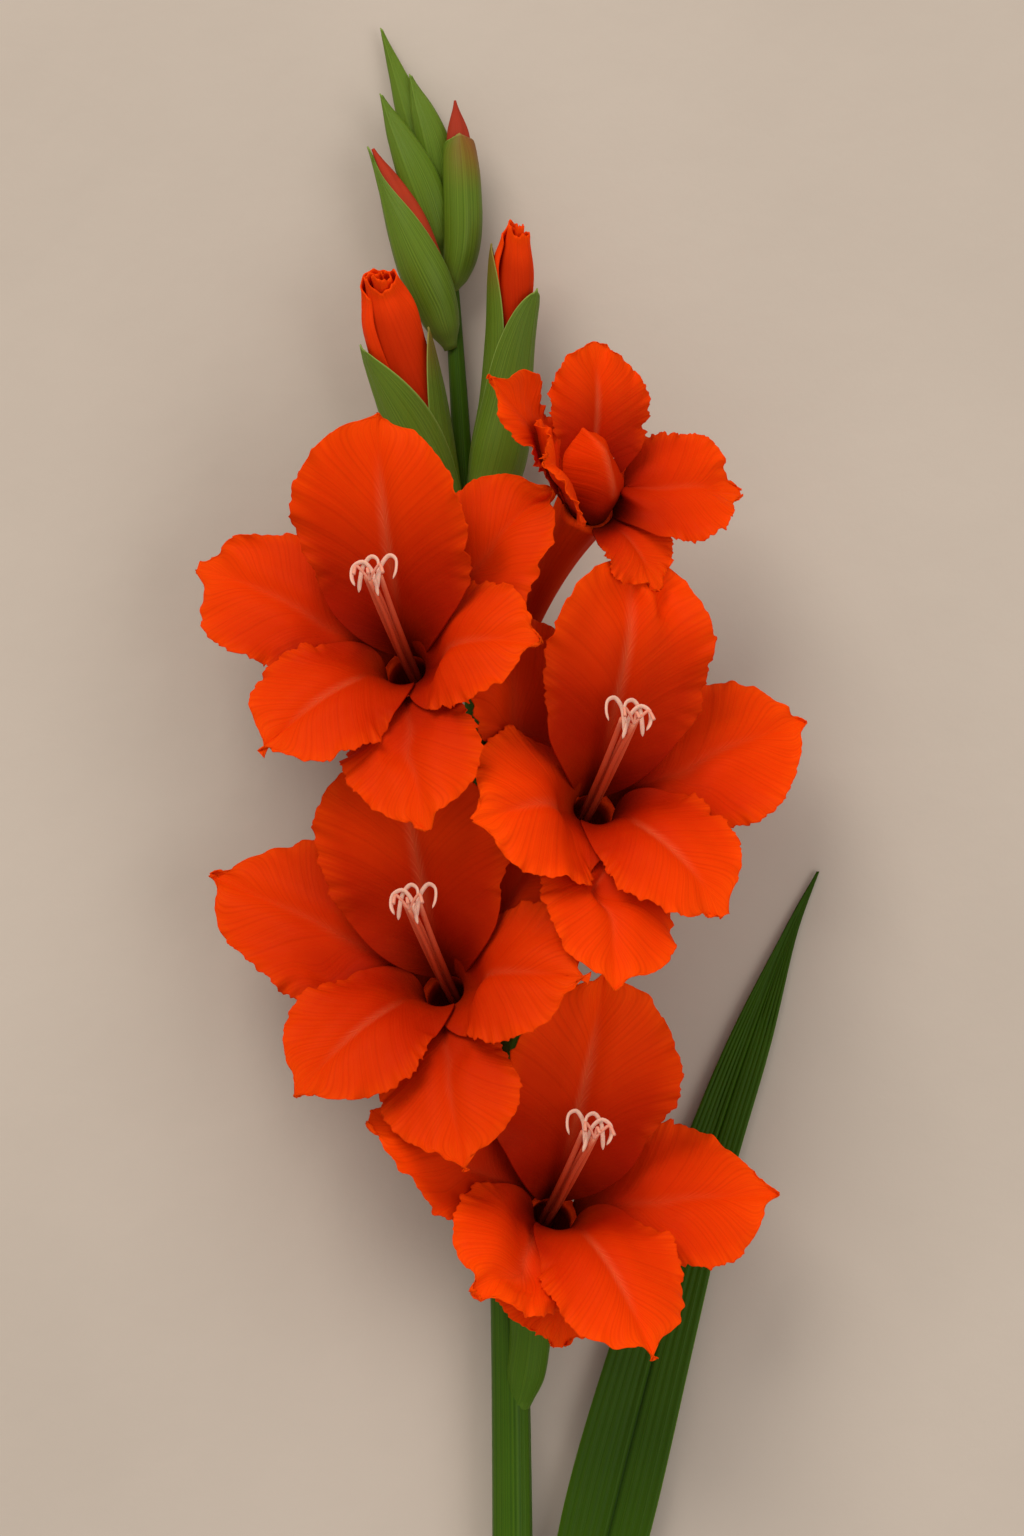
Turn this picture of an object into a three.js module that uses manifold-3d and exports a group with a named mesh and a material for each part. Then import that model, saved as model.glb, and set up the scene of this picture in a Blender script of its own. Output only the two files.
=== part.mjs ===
// A cut gladiolus spike lying on its back: one leafy stem with five open florets, two opening
// buds and five closed ones. Millimetres, +Z up, +Y from the cut end towards the tip.
// Petals are thin closed shells, bracts are boat-shaped wraps, and the stem, tubes and buds are
// tapered sweeps. Neighbouring pieces keep a gap of GAP or more.
import * as THREE from "three";
import { mergeVertices } from "three/addons/utils/BufferGeometryUtils.js";
import Module from "manifold-3d";

const wasm = await Module();
wasm.setup();

// ---- driving dimensions -------------------------------------------------------------------
const GAP = 0.3; // clearance between pieces that touch
const STEM_RADIUS = 6.4; // at the cut end
const STEM_TIP_RADIUS = 1.6;
const PETAL_THICKNESS = 0.8;
const BRACT_THICKNESS = 0.9;
const TUBE_FOOT_RADIUS = 3.0; // floret tube where it leaves the stem
const TUBE_MOUTH_RADIUS = 6.2; // floret tube where the petals part
const TUBE_WALL = 0.9;
const STAMEN_RADIUS = 0.8;
const STAMEN_REACH = 28; // how far the anthers stand out of the throat
const SHEATH_WALL = 1.0;
const LEAF_THICKNESS = 1.2;
const WHORL_STEP = PETAL_THICKNESS + 2 * GAP; // the outer petals sit this far outside the inner ones
const BRACT_OFFSET = 3 * GAP + BRACT_THICKNESS / 2; // from what a bract wraps to the bract's middle
const STEM_SIDES = 12;
const TUBE_SIDES = 10;
const BUD_SIDES = 10;

// Centreline of the stem, from the cut end to the tip of the spike.
const STEM_ROUTE = [
  [0, 0, 7.8],
  [0, 140, 7.8],
  [0, 280, 9],
  [-1.5, 360, 11],
  [-6, 450, 12],
  [-12, 540, 12],
  [-15.5, 600, 9],
  [-19, 645, 6],
  [-22, 660, 5],
];

// ---- small helpers ------------------------------------------------------------------------
const vec = (x, y, z) => new THREE.Vector3(x, y, z);
const rad = THREE.MathUtils.degToRad;
const clamp01 = (x) => Math.min(1, Math.max(0, x));
const smooth = (a, b, x) => THREE.MathUtils.smoothstep(x, a, b);
const mix = THREE.MathUtils.lerp;
const curveThrough = (points) =>
  new THREE.CatmullRomCurve3(points.map((p) => (p.isVector3 ? p : vec(...p))), false, "centripetal");

// A closed geometry from triangles over a list of points.
function geometryOf(points, triangles) {
  const geometry = new THREE.BufferGeometry();
  const numbers = points.flatMap((p) => p.toArray());
  geometry.setAttribute("position", new THREE.Float32BufferAttribute(numbers, 3));
  geometry.setIndex(triangles.flat());
  return geometry;
}

// Closed solid through rings of equally many points; each end is closed by a fan.
function loft(rings) {
  const points = rings.flat();
  const n = rings[0].length;
  const triangles = [];
  for (let i = 0; i + 1 < rings.length; i++)
    for (let j = 0; j < n; j++) {
      const a = i * n + j;
      const b = i * n + ((j + 1) % n);
      triangles.push([a, b + n, b], [a, a + n, b + n]);
    }
  const cap = (ring, at, flip) => {
    const centre = ring.reduce((sum, p) => sum.add(p), vec(0, 0, 0)).divideScalar(n);
    points.push(centre);
    const c = points.length - 1;
    for (let j = 0; j < n; j++) {
      const a = at + j;
      const b = at + ((j + 1) % n);
      triangles.push(flip ? [c, a, b] : [c, b, a]);
    }
  };
  cap(rings[0], 0, true);
  cap(rings.at(-1), (rings.length - 1) * n, false);
  return geometryOf(points, triangles);
}

// Closed shell between two grids of points, front[i][j] and back[i][j].
function shell(front, back) {
  const rows = front.length;
  const cols = front[0].length;
  const points = [...front.flat(), ...back.flat()];
  const f = (i, j) => i * cols + j;
  const b = (i, j) => rows * cols + i * cols + j;
  const triangles = [];
  for (let i = 0; i + 1 < rows; i++)
    for (let j = 0; j + 1 < cols; j++) {
      triangles.push([f(i, j), f(i + 1, j + 1), f(i + 1, j)], [f(i, j), f(i, j + 1), f(i + 1, j + 1)]);
      triangles.push([b(i, j), b(i + 1, j), b(i + 1, j + 1)], [b(i, j), b(i + 1, j + 1), b(i, j + 1)]);
    }
  const rim = [];
  for (let j = 0; j < cols; j++) rim.push([0, j]);
  for (let i = 1; i < rows; i++) rim.push([i, cols - 1]);
  for (let j = cols - 2; j >= 0; j--) rim.push([rows - 1, j]);
  for (let i = rows - 2; i >= 1; i--) rim.push([i, 0]);
  rim.forEach((p, k) => {
    const q = rim[(k + 1) % rim.length];
    triangles.push([f(...p), b(...q), f(...q)], [f(...p), b(...p), b(...q)]);
  });
  return geometryOf(points, triangles);
}

// Frames that run along a curve, or a share of it, without twisting: up starts near upHint.
function framesAlong(curve, steps, upHint = vec(0, 0, 1), from = 0, to = 1) {
  const frames = [];
  let up = upHint.clone();
  for (let i = 0; i <= steps; i++) {
    const share = mix(from, to, i / steps);
    const at = curve.getPointAt(share);
    const along = curve.getTangentAt(share);
    up = up.clone().addScaledVector(along, -up.dot(along)).normalize();
    frames.push({ at, along, up, side: vec(0, 0, 0).crossVectors(along, up) });
  }
  return frames;
}

const ringAt = ({ at, side, up }, a, b, sides, turn = 0) =>
  Array.from({ length: sides }, (_, j) => {
    const w = (2 * Math.PI * j) / sides + turn;
    return at.clone().addScaledVector(side, a * Math.cos(w)).addScaledVector(up, b * Math.sin(w));
  });

// Tapered round or oval sweep: width(t) and depth(t) are radii, t from 0 to 1.
function sweep(curve, steps, sides, width, depth = width, upHint) {
  const frames = framesAlong(curve, steps, upHint);
  return loft(frames.map((f, i) => ringAt(f, width(i / steps), depth(i / steps), sides)));
}

// ---- solids for joins ---------------------------------------------------------------------
function solidOf(geometry) {
  const bare = new THREE.BufferGeometry();
  bare.setAttribute("position", geometry.getAttribute("position").clone());
  bare.setIndex(geometry.index);
  const merged = mergeVertices(bare, 1e-3);
  return new wasm.Manifold(
    new wasm.Mesh({
      numProp: 3,
      vertProperties: merged.attributes.position.array,
      triVerts: new Uint32Array(merged.index.array),
    }),
  );
}

function geometryFrom(solid) {
  const mesh = solid.getMesh();
  const positions = new Float32Array(mesh.numVert * 3);
  for (let i = 0; i < mesh.numVert; i++)
    positions.set(mesh.vertProperties.subarray(i * mesh.numProp, i * mesh.numProp + 3), i * 3);
  return new THREE.BufferGeometry()
    .setAttribute("position", new THREE.BufferAttribute(positions, 3))
    .setIndex(new THREE.BufferAttribute(mesh.triVerts, 1));
}

const joined = (geometries) => geometryFrom(geometries.map(solidOf).reduce((a, b) => a.add(b)));

// ---- materials ----------------------------------------------------------------------------
const material = (color, roughness) => new THREE.MeshStandardMaterial({ color, roughness, metalness: 0 });
const PETAL = material(0xf03c05, 0.55);
const TUBE = material(0xa81c08, 0.6);
const STAMEN = material(0xe9a58c, 0.6);
const BRACT = material(0x5f8a34, 0.5);
const STEM = material(0x4a7a1c, 0.45);
const LEAF = material(0x2f5a12, 0.45);
const BUD = material(0xd8401c, 0.6);

// ---- placing ------------------------------------------------------------------------------
// Pieces are placed from the front to the back. Each one is cut back wherever it would come
// within GAP of a piece already there, and only its largest remaining part is kept.
const plant = new THREE.Group();
const rooms = [];

function place(name, geometry, roomGeometry, look) {
  const left = rooms.reduce((solid, room) => solid.subtract(room), solidOf(geometry));
  const largest = left.decompose().reduce((best, piece) => (piece.volume() > best.volume() ? piece : best));
  const mesh = new THREE.Mesh(geometryFrom(largest), look);
  mesh.name = name;
  plant.add(mesh);
  rooms.push(solidOf(roomGeometry));
}

// ---- stem ---------------------------------------------------------------------------------
const STEM_STEPS = 24;
const STEM_TAPER = 2.2; // how late the stem thins, as a power of the share of its length
const stemCurve = curveThrough(STEM_ROUTE);
const stemRadius = (t) => mix(STEM_RADIUS, STEM_TIP_RADIUS, Math.pow(t, STEM_TAPER));
const stemSweep = (grow) => sweep(stemCurve, STEM_STEPS, STEM_SIDES, (t) => stemRadius(t) + grow);
place("stem", stemSweep(0), stemSweep(GAP), STEM);

// Point on the stem's centreline at a distance y from the cut end.
function stemAt(y) {
  const halvings = 30;
  let low = 0;
  let high = 1;
  for (let i = 0; i < halvings; i++) {
    const share = (low + high) / 2;
    if (stemCurve.getPointAt(share).y < y) low = share;
    else high = share;
  }
  return stemCurve.getPointAt(low);
}

// ---- petals -------------------------------------------------------------------------------
// A petal in floret coordinates: z out of the throat, y to the upper petal, x to the right.
//   az      place round the throat in degrees, 0 up, positive to the right
//   length, width   along the midrib, and half the greatest width
//   from, to, bend  angle of the midrib to the floret's axis at its foot and tip, and how early it turns
//   cup     curvature across the tip, positive towards the throat
//   bow     sideways swing of the tip
//   flare   share of the length where the petal is widest, and round, how blunt it is past there
//   flat    share of the length where the cross-section has left the tube's
const PETAL_ROWS = 8;
const PETAL_COLS = 7;
const PETAL_TIP = 1.0; // half width of the blunt tip
const FOOT_SHARE = 0.56; // half width of the foot over its distance from the axis
const MOUTH = -8; // the tube ends and the petals begin here, along the floret's axis
const STRAIGHT = 1e-5; // the least curvature that an arc can be worked out for

function petalSurface(p, rows, cols) {
  const footRadius = p.outer ? TUBE_MOUTH_RADIUS + WHORL_STEP : TUBE_MOUTH_RADIUS;
  const az = rad(p.az);
  const out = vec(Math.sin(az), Math.cos(az), 0);
  const side = vec(Math.cos(az), -Math.sin(az), 0);
  const axis = vec(0, 0, 1);
  const { from, to, bend, flare = 0.54, round = 2.2, flat = 0.5, bow = 0 } = p;
  const angle = (u) => rad(from + (to - from) * (1 - Math.pow(1 - u, bend)));
  const foot = (footRadius * FOOT_SHARE) / p.width;
  const grid = [];
  const stepsInRow = 8;
  const step = p.length / (rows - 1) / stepsInRow;
  let r = footRadius;
  let z = MOUTH;
  for (let i = 0; i < rows; i++) {
    const u = i / (rows - 1);
    for (let k = 0; k < stepsInRow && i > 0; k++) {
      const lean = angle((i - 1 + (k + 0.5) / stepsInRow) / (rows - 1));
      r += Math.sin(lean) * step;
      z += Math.cos(lean) * step;
    }
    const lean = angle(u);
    const rise = foot + (1 - foot) * Math.sin((Math.PI / 2) * clamp01(u / flare));
    const fall = Math.sqrt(clamp01(1 - Math.pow(clamp01((u - flare) / (1 - flare)), round)));
    const half = Math.max(PETAL_TIP, p.width * (u < flare ? rise : fall));
    const curvature = mix(Math.cos(lean) / r, p.cup, smooth(0, flat, u));
    const k = Math.abs(curvature) < STRAIGHT ? STRAIGHT : curvature;
    const lift = out.clone().multiplyScalar(-Math.cos(lean)).addScaledVector(axis, Math.sin(lean));
    const middle = out.clone().multiplyScalar(r).addScaledVector(axis, z).addScaledVector(side, bow * u * u);
    grid.push(
      Array.from({ length: cols }, (_, j) => {
        const t = ((2 * j) / (cols - 1) - 1) * half;
        return middle
          .clone()
          .addScaledVector(side, Math.sin(k * t) / k)
          .addScaledVector(lift, (1 - Math.cos(k * t)) / k);
      }),
    );
  }
  return grid;
}

// Unit normals of a grid of points, to the side that the petal's front faces.
function normalsOf(grid) {
  const rows = grid.length;
  const cols = grid[0].length;
  return grid.map((row, i) =>
    row.map((_, j) => {
      const along = grid[Math.min(i + 1, rows - 1)][j].clone().sub(grid[Math.max(i - 1, 0)][j]);
      const across = row[Math.min(j + 1, cols - 1)].clone().sub(row[Math.max(j - 1, 0)]);
      return vec(0, 0, 0).crossVectors(across, along).normalize();
    }),
  );
}

// Closed shell of the given thickness round a grid; grow makes it bigger on every side.
function thicken(grid, thickness, grow = 0) {
  const rows = grid.length;
  const cols = grid[0].length;
  const normals = normalsOf(grid);
  const away = (p, q) => p.clone().sub(q).setLength(grow);
  const wider = grid.map((row, i) =>
    row.map((p, j) => {
      const moved = p.clone();
      if (j === 0) moved.add(away(p, row[1]));
      if (j === cols - 1) moved.add(away(p, row[cols - 2]));
      if (i === 0) moved.add(away(p, grid[1][j]));
      if (i === rows - 1) moved.add(away(p, grid[rows - 2][j]));
      return moved;
    }),
  );
  const half = thickness / 2 + grow;
  const offset = (d) => wider.map((row, i) => row.map((p, j) => p.clone().addScaledVector(normals[i][j], d)));
  return shell(offset(half), offset(-half));
}

// Pushes a petal back, away from the throat, wherever it would run into one that lies in front.
const CLEARANCE = PETAL_THICKNESS + 3 * GAP; // between the middles of two petals
const REACH = 9; // a petal further in front than this is passing well clear
const PAST_EDGE = 3; // the push is whole this far beyond the edge of the petal in front
const FADE = 12; // and has died away this far beyond it
const FREE_FROM = 0.3; // nearer its foot than this share of its length, a petal stays in its ring

function pushBehind(grid, fronts) {
  for (const front of fronts) {
    const normals = normalsOf(front).flat();
    const points = front.flat();
    grid.forEach((row, i) => {
      const free = smooth(0, FREE_FROM, i / (grid.length - 1));
      for (const p of row) {
        let nearest = 0;
        points.forEach((q, at) => {
          if (q.distanceToSquared(p) < points[nearest].distanceToSquared(p)) nearest = at;
        });
        const gap = p.clone().sub(points[nearest]);
        const ahead = gap.dot(normals[nearest]);
        const aside = Math.sqrt(Math.max(0, gap.lengthSq() - ahead * ahead));
        if (ahead <= -CLEARANCE || ahead > REACH) continue;
        const push = (ahead + CLEARANCE) * (1 - smooth(PAST_EDGE, FADE, aside)) * free;
        p.addScaledVector(normals[nearest], -push);
      }
    });
  }
}

// ---- florets ------------------------------------------------------------------------------
// Petals of an open floret that faces left, from the front to the back; one that faces right is
// mirrored.
const INNER = { outer: false, cup: -0.01, flat: 0.4, flare: 0.6 };
const OUTER = { outer: true, bend: 2.0, cup: 0 };
const OPEN_PETALS = {
  upper: { az: 6, length: 74, width: 25.5, from: 12, to: 62, bend: 1.4, cup: 0.006, bow: -4 },
  lower_outer: { ...INNER, az: -134, length: 50, width: 20, from: -10, to: 96, bend: 1.9 },
  lower_inner: { ...INNER, az: 94, length: 49, width: 20, from: -10, to: 90, bend: 1.9 },
  side_outer: { ...OUTER, az: -64, length: 62, width: 21.5, from: 20, to: 94 },
  side_inner: { ...OUTER, az: 45, length: 63, width: 20, from: 20, to: 88 },
  lowest: { ...INNER, outer: true, az: 165, length: 51, width: 19, from: 18, to: 100, bend: 2.2 },
};

// One row for each open floret, from the lowest: node is where it leaves the stem, throat is the
// centre of its mouth, yaw turns it to the right, pitch up the spike, and roll leans its upper petal.
// aside is how far its tube first leans out of the stem to the right.
const FLORETS = [
  {
    node: 302, throat: [13.5, 366.5, 43], yaw: 18, pitch: 26, roll: 10, aside: 9,
    petals: {
      upper: { length: 71 },
      lower_outer: { az: -153, length: 57 },
      lower_inner: { az: 142, width: 22 },
      side_outer: { az: -82, length: 56 },
      side_inner: { az: 76, length: 57 },
      lowest: { az: 186, length: 32, to: 120 },
    },
  },
  {
    node: 345, throat: [-20.7, 429.5, 45], yaw: -18, pitch: 26, roll: -3, aside: -4,
    petals: {
      upper: { az: 1, width: 27 },
      lower_outer: { az: -139, length: 56 },
      lower_inner: { az: 99, length: 56 },
      side_outer: { az: -66, length: 69 },
      lowest: { az: 166, length: 54 },
    },
  },
  {
    node: 396, throat: [24.6, 480.5, 47], yaw: 18, pitch: 26, roll: 8, aside: 4,
    petals: {
      upper: { width: 24, bow: -5, length: 76 },
      lower_outer: { az: -138, length: 52 },
      lower_inner: { az: 114, width: 24, length: 49 },
      side_outer: { length: 61 },
      lowest: { az: 182, length: 55 },
    },
  },
  {
    node: 442, throat: [-31.4, 519.7, 50], yaw: -18, pitch: 26, roll: -3, aside: -4,
    petals: { upper: { length: 72 } },
  },
  {
    node: 487, throat: [24, 567, 56], yaw: 24, pitch: 28, roll: 4, aside: 4, reach: -4,
    petals: {
      upper: { az: 4, length: 41, width: 15.5, to: 66, bow: 2, flare: 0.6 },
      lower_outer: { az: -150, length: 33, width: 10.5, from: -4, to: -20, bend: 1.2, cup: 0.04, flare: 0.7 },
      lower_inner: { az: 98, length: 34, width: 13.5, from: 10, to: 50, bend: 1.4, cup: 0.03 },
      side_outer: { az: -86, length: 37, width: 18.5, to: 92 },
      side_inner: { az: 62, length: 42, width: 10, to: 64, cup: 0.03, flare: 0.68, round: 3 },
      lowest: { az: -146, length: 24, width: 12, to: 112 },
    },
  },
];

// Turns floret coordinates into the plant's.
function floretMatrix({ throat, yaw, pitch, roll }) {
  const axis = vec(
    Math.sin(rad(yaw)) * Math.cos(rad(pitch)),
    Math.sin(rad(pitch)),
    Math.cos(rad(yaw)) * Math.cos(rad(pitch)),
  );
  const up = vec(0, 1, 0).addScaledVector(axis, -axis.y).normalize();
  const right = vec(0, 0, 0).crossVectors(up, axis);
  const turn = rad(roll);
  const y = up.clone().multiplyScalar(Math.cos(turn)).addScaledVector(right, Math.sin(turn));
  const x = right.clone().multiplyScalar(Math.cos(turn)).addScaledVector(up, -Math.sin(turn));
  return new THREE.Matrix4().makeBasis(x, y, axis).setPosition(vec(...throat));
}

// The tube's course: out of the stem, up the spike and into the floret's axis.
const TUBE_RISE = 6; // how far it leaves the stem upwards while it still runs along it
const LEAVING = 0.36; // share of the way up the spike that it runs along the stem
const ENTERING = 0.42; // share of its span that it runs along the floret's axis
function tubeCurve(floret, matrix) {
  const root = stemAt(floret.node);
  const mouth = vec(0, 0, MOUTH - 2 * GAP).applyMatrix4(matrix);
  const inside = vec(0, 0, MOUTH - ENTERING * mouth.distanceTo(root)).applyMatrix4(matrix);
  const leaving = root.clone().add(vec(floret.aside, LEAVING * (mouth.y - root.y), TUBE_RISE));
  return new THREE.CubicBezierCurve3(root, leaving, inside, mouth);
}

// The tube swells over the ovary, near its foot, and flares to its mouth.
const OVARY = { swell: 0.8, at: 0.22, length: 0.12 };
const TUBE_FLARE = 2.4;
const TUBE_STEPS = 10;
const HOLLOW_FROM = 0.7; // share of the tube's length from where it is open
const tubeMouth = TUBE_MOUTH_RADIUS + WHORL_STEP + PETAL_THICKNESS;
const tubeRadius = (t) =>
  mix(TUBE_FOOT_RADIUS, tubeMouth, Math.pow(t, TUBE_FLARE)) +
  OVARY.swell * Math.exp(-Math.pow((t - OVARY.at) / OVARY.length, 2));

function floretTube(curve, grow = 0) {
  const frames = framesAlong(curve, TUBE_STEPS);
  const ring = (i, r) => ringAt(frames[i], r, r, TUBE_SIDES);
  const outside = frames.map((_, i) => ring(i, tubeRadius(i / TUBE_STEPS) + grow));
  const inside = [];
  for (let i = TUBE_STEPS; i / TUBE_STEPS >= HOLLOW_FROM; i--) {
    const rim = i === TUBE_STEPS ? WHORL_STEP : 0;
    inside.push(ring(i, tubeRadius(i / TUBE_STEPS) - TUBE_WALL - grow - rim));
  }
  return loft([...outside, ...inside]);
}

// Boat-shaped shell round a sweep.
//   from, to   shares of the curve
//   facing     direction of its middle in degrees (0 right, 90 up, 180 left), which swings on by
//              swing towards its tip
//   spread     half the angle that it covers, blunt the share of its length where it starts to
//              narrow, and sharp how straight it narrows, from 0 to 1
//   lift       extra distance from what it wraps, beyond radius(t)
const BRACT_TIP = 0.6; // half width of a bract's tip
const FRAME_STEPS = 40;
const COLUMN_ANGLE = 28; // about this much of the turn between two columns
function wrap(curve, radius, shape, thickness = BRACT_THICKNESS, grow = 0, rows = 6) {
  const { from, to, facing, swing = 0, spread, blunt = 0.3, sharp = 0, lift = 0 } = shape;
  const frames = framesAlong(curve, FRAME_STEPS);
  const cols = 2 * Math.ceil(spread / COLUMN_ANGLE) + 1;
  const grid = [];
  for (let i = 0; i < rows; i++) {
    const u = i / (rows - 1);
    const share = from + (to - from) * u;
    const frame = frames[Math.round(share * FRAME_STEPS)];
    const closing = Math.pow(clamp01((u - blunt) / (1 - blunt)), mix(2, 1, sharp));
    const narrow = Math.pow(1 - closing, mix(0.5, 0.8, sharp));
    const r = radius(share) + lift;
    const half = Math.max(BRACT_TIP / r, rad(spread) * narrow);
    grid.push(
      Array.from({ length: cols }, (_, j) => {
        const angle = rad(facing + swing * u) + half * (1 - (2 * j) / (cols - 1));
        const sideways = frame.at.clone().addScaledVector(frame.side, r * Math.cos(angle));
        return sideways.addScaledVector(frame.up, r * Math.sin(angle));
      }),
    );
  }
  return thicken(grid, thickness, grow);
}

// Three stamens and the style, in floret coordinates, joined at the foot. Each filament ends in
// an anther that curls over to its side. Heights are shares of the way from the foot to reach.
const STAMEN_FOOT = -22;
const STAMEN_FOOT_RADIUS = 2;
const ANTHER_SWELL = 0.5; // how much thicker an anther is than its filament
const STYLE_PAST = 5; // how far the style stands beyond the anthers
function stamens(reach, grow = 0) {
  const height = (share) => mix(STAMEN_FOOT, reach, share);
  const thread = (points, r) => {
    const radius = (t) => r(t) + grow;
    return sweep(curveThrough(points), 5, 4, radius, radius, vec(1, 0, 0));
  };
  const filaments = [-1, 0, 1].map((k) => {
    const top = 10.5 + 1.5 * Math.abs(k);
    const course = [
      [0.6 * k, 1, height(0)],
      [1.2 * k, 4, height(0.36)],
      [1.7 * k, 8, height(0.72)],
      [2.1 * k, top, height(1)],
      [4.5 * k, top + 3.5, reach + 3],
    ];
    return thread(course, (t) => STAMEN_RADIUS + ANTHER_SWELL * smooth(0.7, 0.9, t));
  });
  const styleCourse = [
    [0, 0, height(0)],
    [0, 2, height(0.36)],
    [0, 6, height(0.72)],
    [0, 8, reach + STYLE_PAST],
  ];
  const style = thread(styleCourse, () => STAMEN_RADIUS);
  const footCourse = [[0, 0.6, STAMEN_FOOT - 1.5], [0, 0.6, STAMEN_FOOT + 1]];
  const foot = thread(footCourse, () => STAMEN_FOOT_RADIUS);
  return joined([...filaments, style, foot]);
}

const petalGrids = []; // the middle surface of every petal already placed
for (let index = FLORETS.length - 1; index >= 0; index--) {
  const floret = FLORETS[index];
  const name = `floret_${index + 1}`;
  const mirror = floret.yaw > 0 ? -1 : 1;
  const matrix = floretMatrix(floret);
  const above = petalGrids.slice();
  const own = [];
  for (const [petalName, base] of Object.entries(OPEN_PETALS)) {
    const p = { ...base, ...(floret.petals[petalName] ?? {}) };
    p.az *= mirror;
    p.bow = (p.bow ?? 0) * mirror;
    const grid = petalSurface(p, PETAL_ROWS, PETAL_COLS);
    grid.flat().forEach((point) => point.applyMatrix4(matrix));
    pushBehind(grid, own);
    pushBehind(grid, above);
    own.push(grid);
    petalGrids.push(grid);
    const petal = (grow) => thicken(grid, PETAL_THICKNESS, grow);
    place(`${name}_petal_${petalName}`, petal(0), petal(GAP), PETAL);
  }
}

FLORETS.forEach((floret, index) => {
  const name = `floret_${index + 1}`;
  const matrix = floretMatrix(floret);
  const curve = tubeCurve(floret, matrix);
  const inside = (grow) => stamens(floret.reach ?? STAMEN_REACH, grow).applyMatrix4(matrix);
  place(`${name}_tube`, floretTube(curve), floretTube(curve, GAP), TUBE);
  place(`${name}_stamens`, inside(0), inside(GAP), STAMEN);
});

// Two bracts round the foot of the tube, the outer one longer, joined by a collar.
const COLLAR = { from: 0.08, to: 0.18, wall: 0.6 };
const FLORET_BRACTS = [
  { from: 0.11, to: 0.72, facing: 90, spread: 84 },
  { from: 0.11, to: 0.6, facing: 270, spread: 84 },
];
FLORETS.forEach((floret, index) => {
  const curve = tubeCurve(floret, floretMatrix(floret));
  const radius = (t) => tubeRadius(t) + BRACT_OFFSET;
  const collarFrames = framesAlong(curve, 2, vec(0, 0, 1), COLLAR.from, COLLAR.to);
  const bracts = (grow) => {
    const r = radius(COLLAR.from) + COLLAR.wall + grow;
    const collar = loft(collarFrames.map((frame) => ringAt(frame, r, r, TUBE_SIDES)));
    const boats = FLORET_BRACTS.map((shape) => wrap(curve, radius, shape, BRACT_THICKNESS, grow, 5));
    return joined([collar, ...boats]);
  };
  place(`floret_${index + 1}_bracts`, bracts(0), bracts(GAP), BRACT);
});

// ---- buds ---------------------------------------------------------------------------------
// Each bud is a tapered sweep from the stem with green bracts wrapped round it. route starts
// inside the stem, radii are spread evenly along it, and flat is its depth over its width.
const BUDS = [
  {
    name: "bud_6", flat: 0.85, radii: [2.6, 3.8, 5.6, 7.0, 8.2, 8.8, 8.2],
    route: [[-11, 530, 13], [-19, 556, 17], [-26, 586, 21], [-32, 609, 24], [-36, 624, 27], [-38, 630, 33]],
    bracts: {
      outer_bract: { from: 0.14, to: 0.8, facing: 128, swing: 50, spread: 122, lift: 0.9 },
      inner_bract: { from: 0.14, to: 0.8, facing: 5, spread: 75, blunt: 0.35 },
    },
  },
  {
    name: "bud_7", flat: 0.9, radii: [2.4, 4.4, 6.4, 5.6, 5.2, 6.0, 5.8],
    route: [[-11, 548, 12], [-7, 566, 14], [-3, 586, 16], [-0.6, 614, 18], [1.2, 637, 20.5], [1.8, 645, 25]],
    bracts: {
      outer_bract: { from: 0.16, to: 0.8, facing: 60, swing: -32, spread: 112, lift: 0.6 },
      inner_bract: { from: 0.2, to: 0.92, facing: 178, spread: 85, blunt: 0.4, lift: 0.5 },
    },
  },
  {
    name: "bud_8", flat: 0.85, radii: [1.8, 4.4, 5.8, 5.8, 4.8, 2.8, 0.5],
    route: [[-17.5, 611, 9.5], [-21, 621, 12], [-25.8, 635, 14.5], [-31, 650, 14.5], [-40, 668, 12.5]],
    bracts: { bract: { from: 0.02, to: 1, facing: 150, spread: 170, blunt: 0.2, sharp: 1 } },
  },
  {
    name: "bud_9", flat: 0.9, radii: [1.6, 3.4, 4.1, 4.1, 3.8, 3.1, 0.35],
    route: [[-17.5, 628, 7.5], [-14.5, 640, 11.5], [-14.4, 657, 13], [-16.4, 682, 12]],
    bracts: { bract: { from: 0.02, to: 0.84, facing: 75, spread: 172, blunt: 0.66 } },
  },
];
const BUD_STEPS = 10;

BUDS.forEach(({ name, route, radii, flat, bracts }) => {
  const curve = curveThrough(route);
  const radius = (t) => {
    const at = t * (radii.length - 1);
    const i = Math.min(Math.floor(at), radii.length - 2);
    return mix(radii[i], radii[i + 1], at - i);
  };
  const petals = (grow) =>
    sweep(curve, BUD_STEPS, BUD_SIDES, (t) => radius(t) + grow, (t) => flat * radius(t) + grow);
  place(`${name}_petals`, petals(0), petals(GAP), BUD);
  const away = (t) => radius(t) + BRACT_OFFSET;
  for (const [part, shape] of Object.entries(bracts)) {
    const bract = (grow) => wrap(curve, away, shape, BRACT_THICKNESS, grow);
    place(`${name}_${part}`, bract(0), bract(GAP), BRACT);
  }
});

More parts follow.
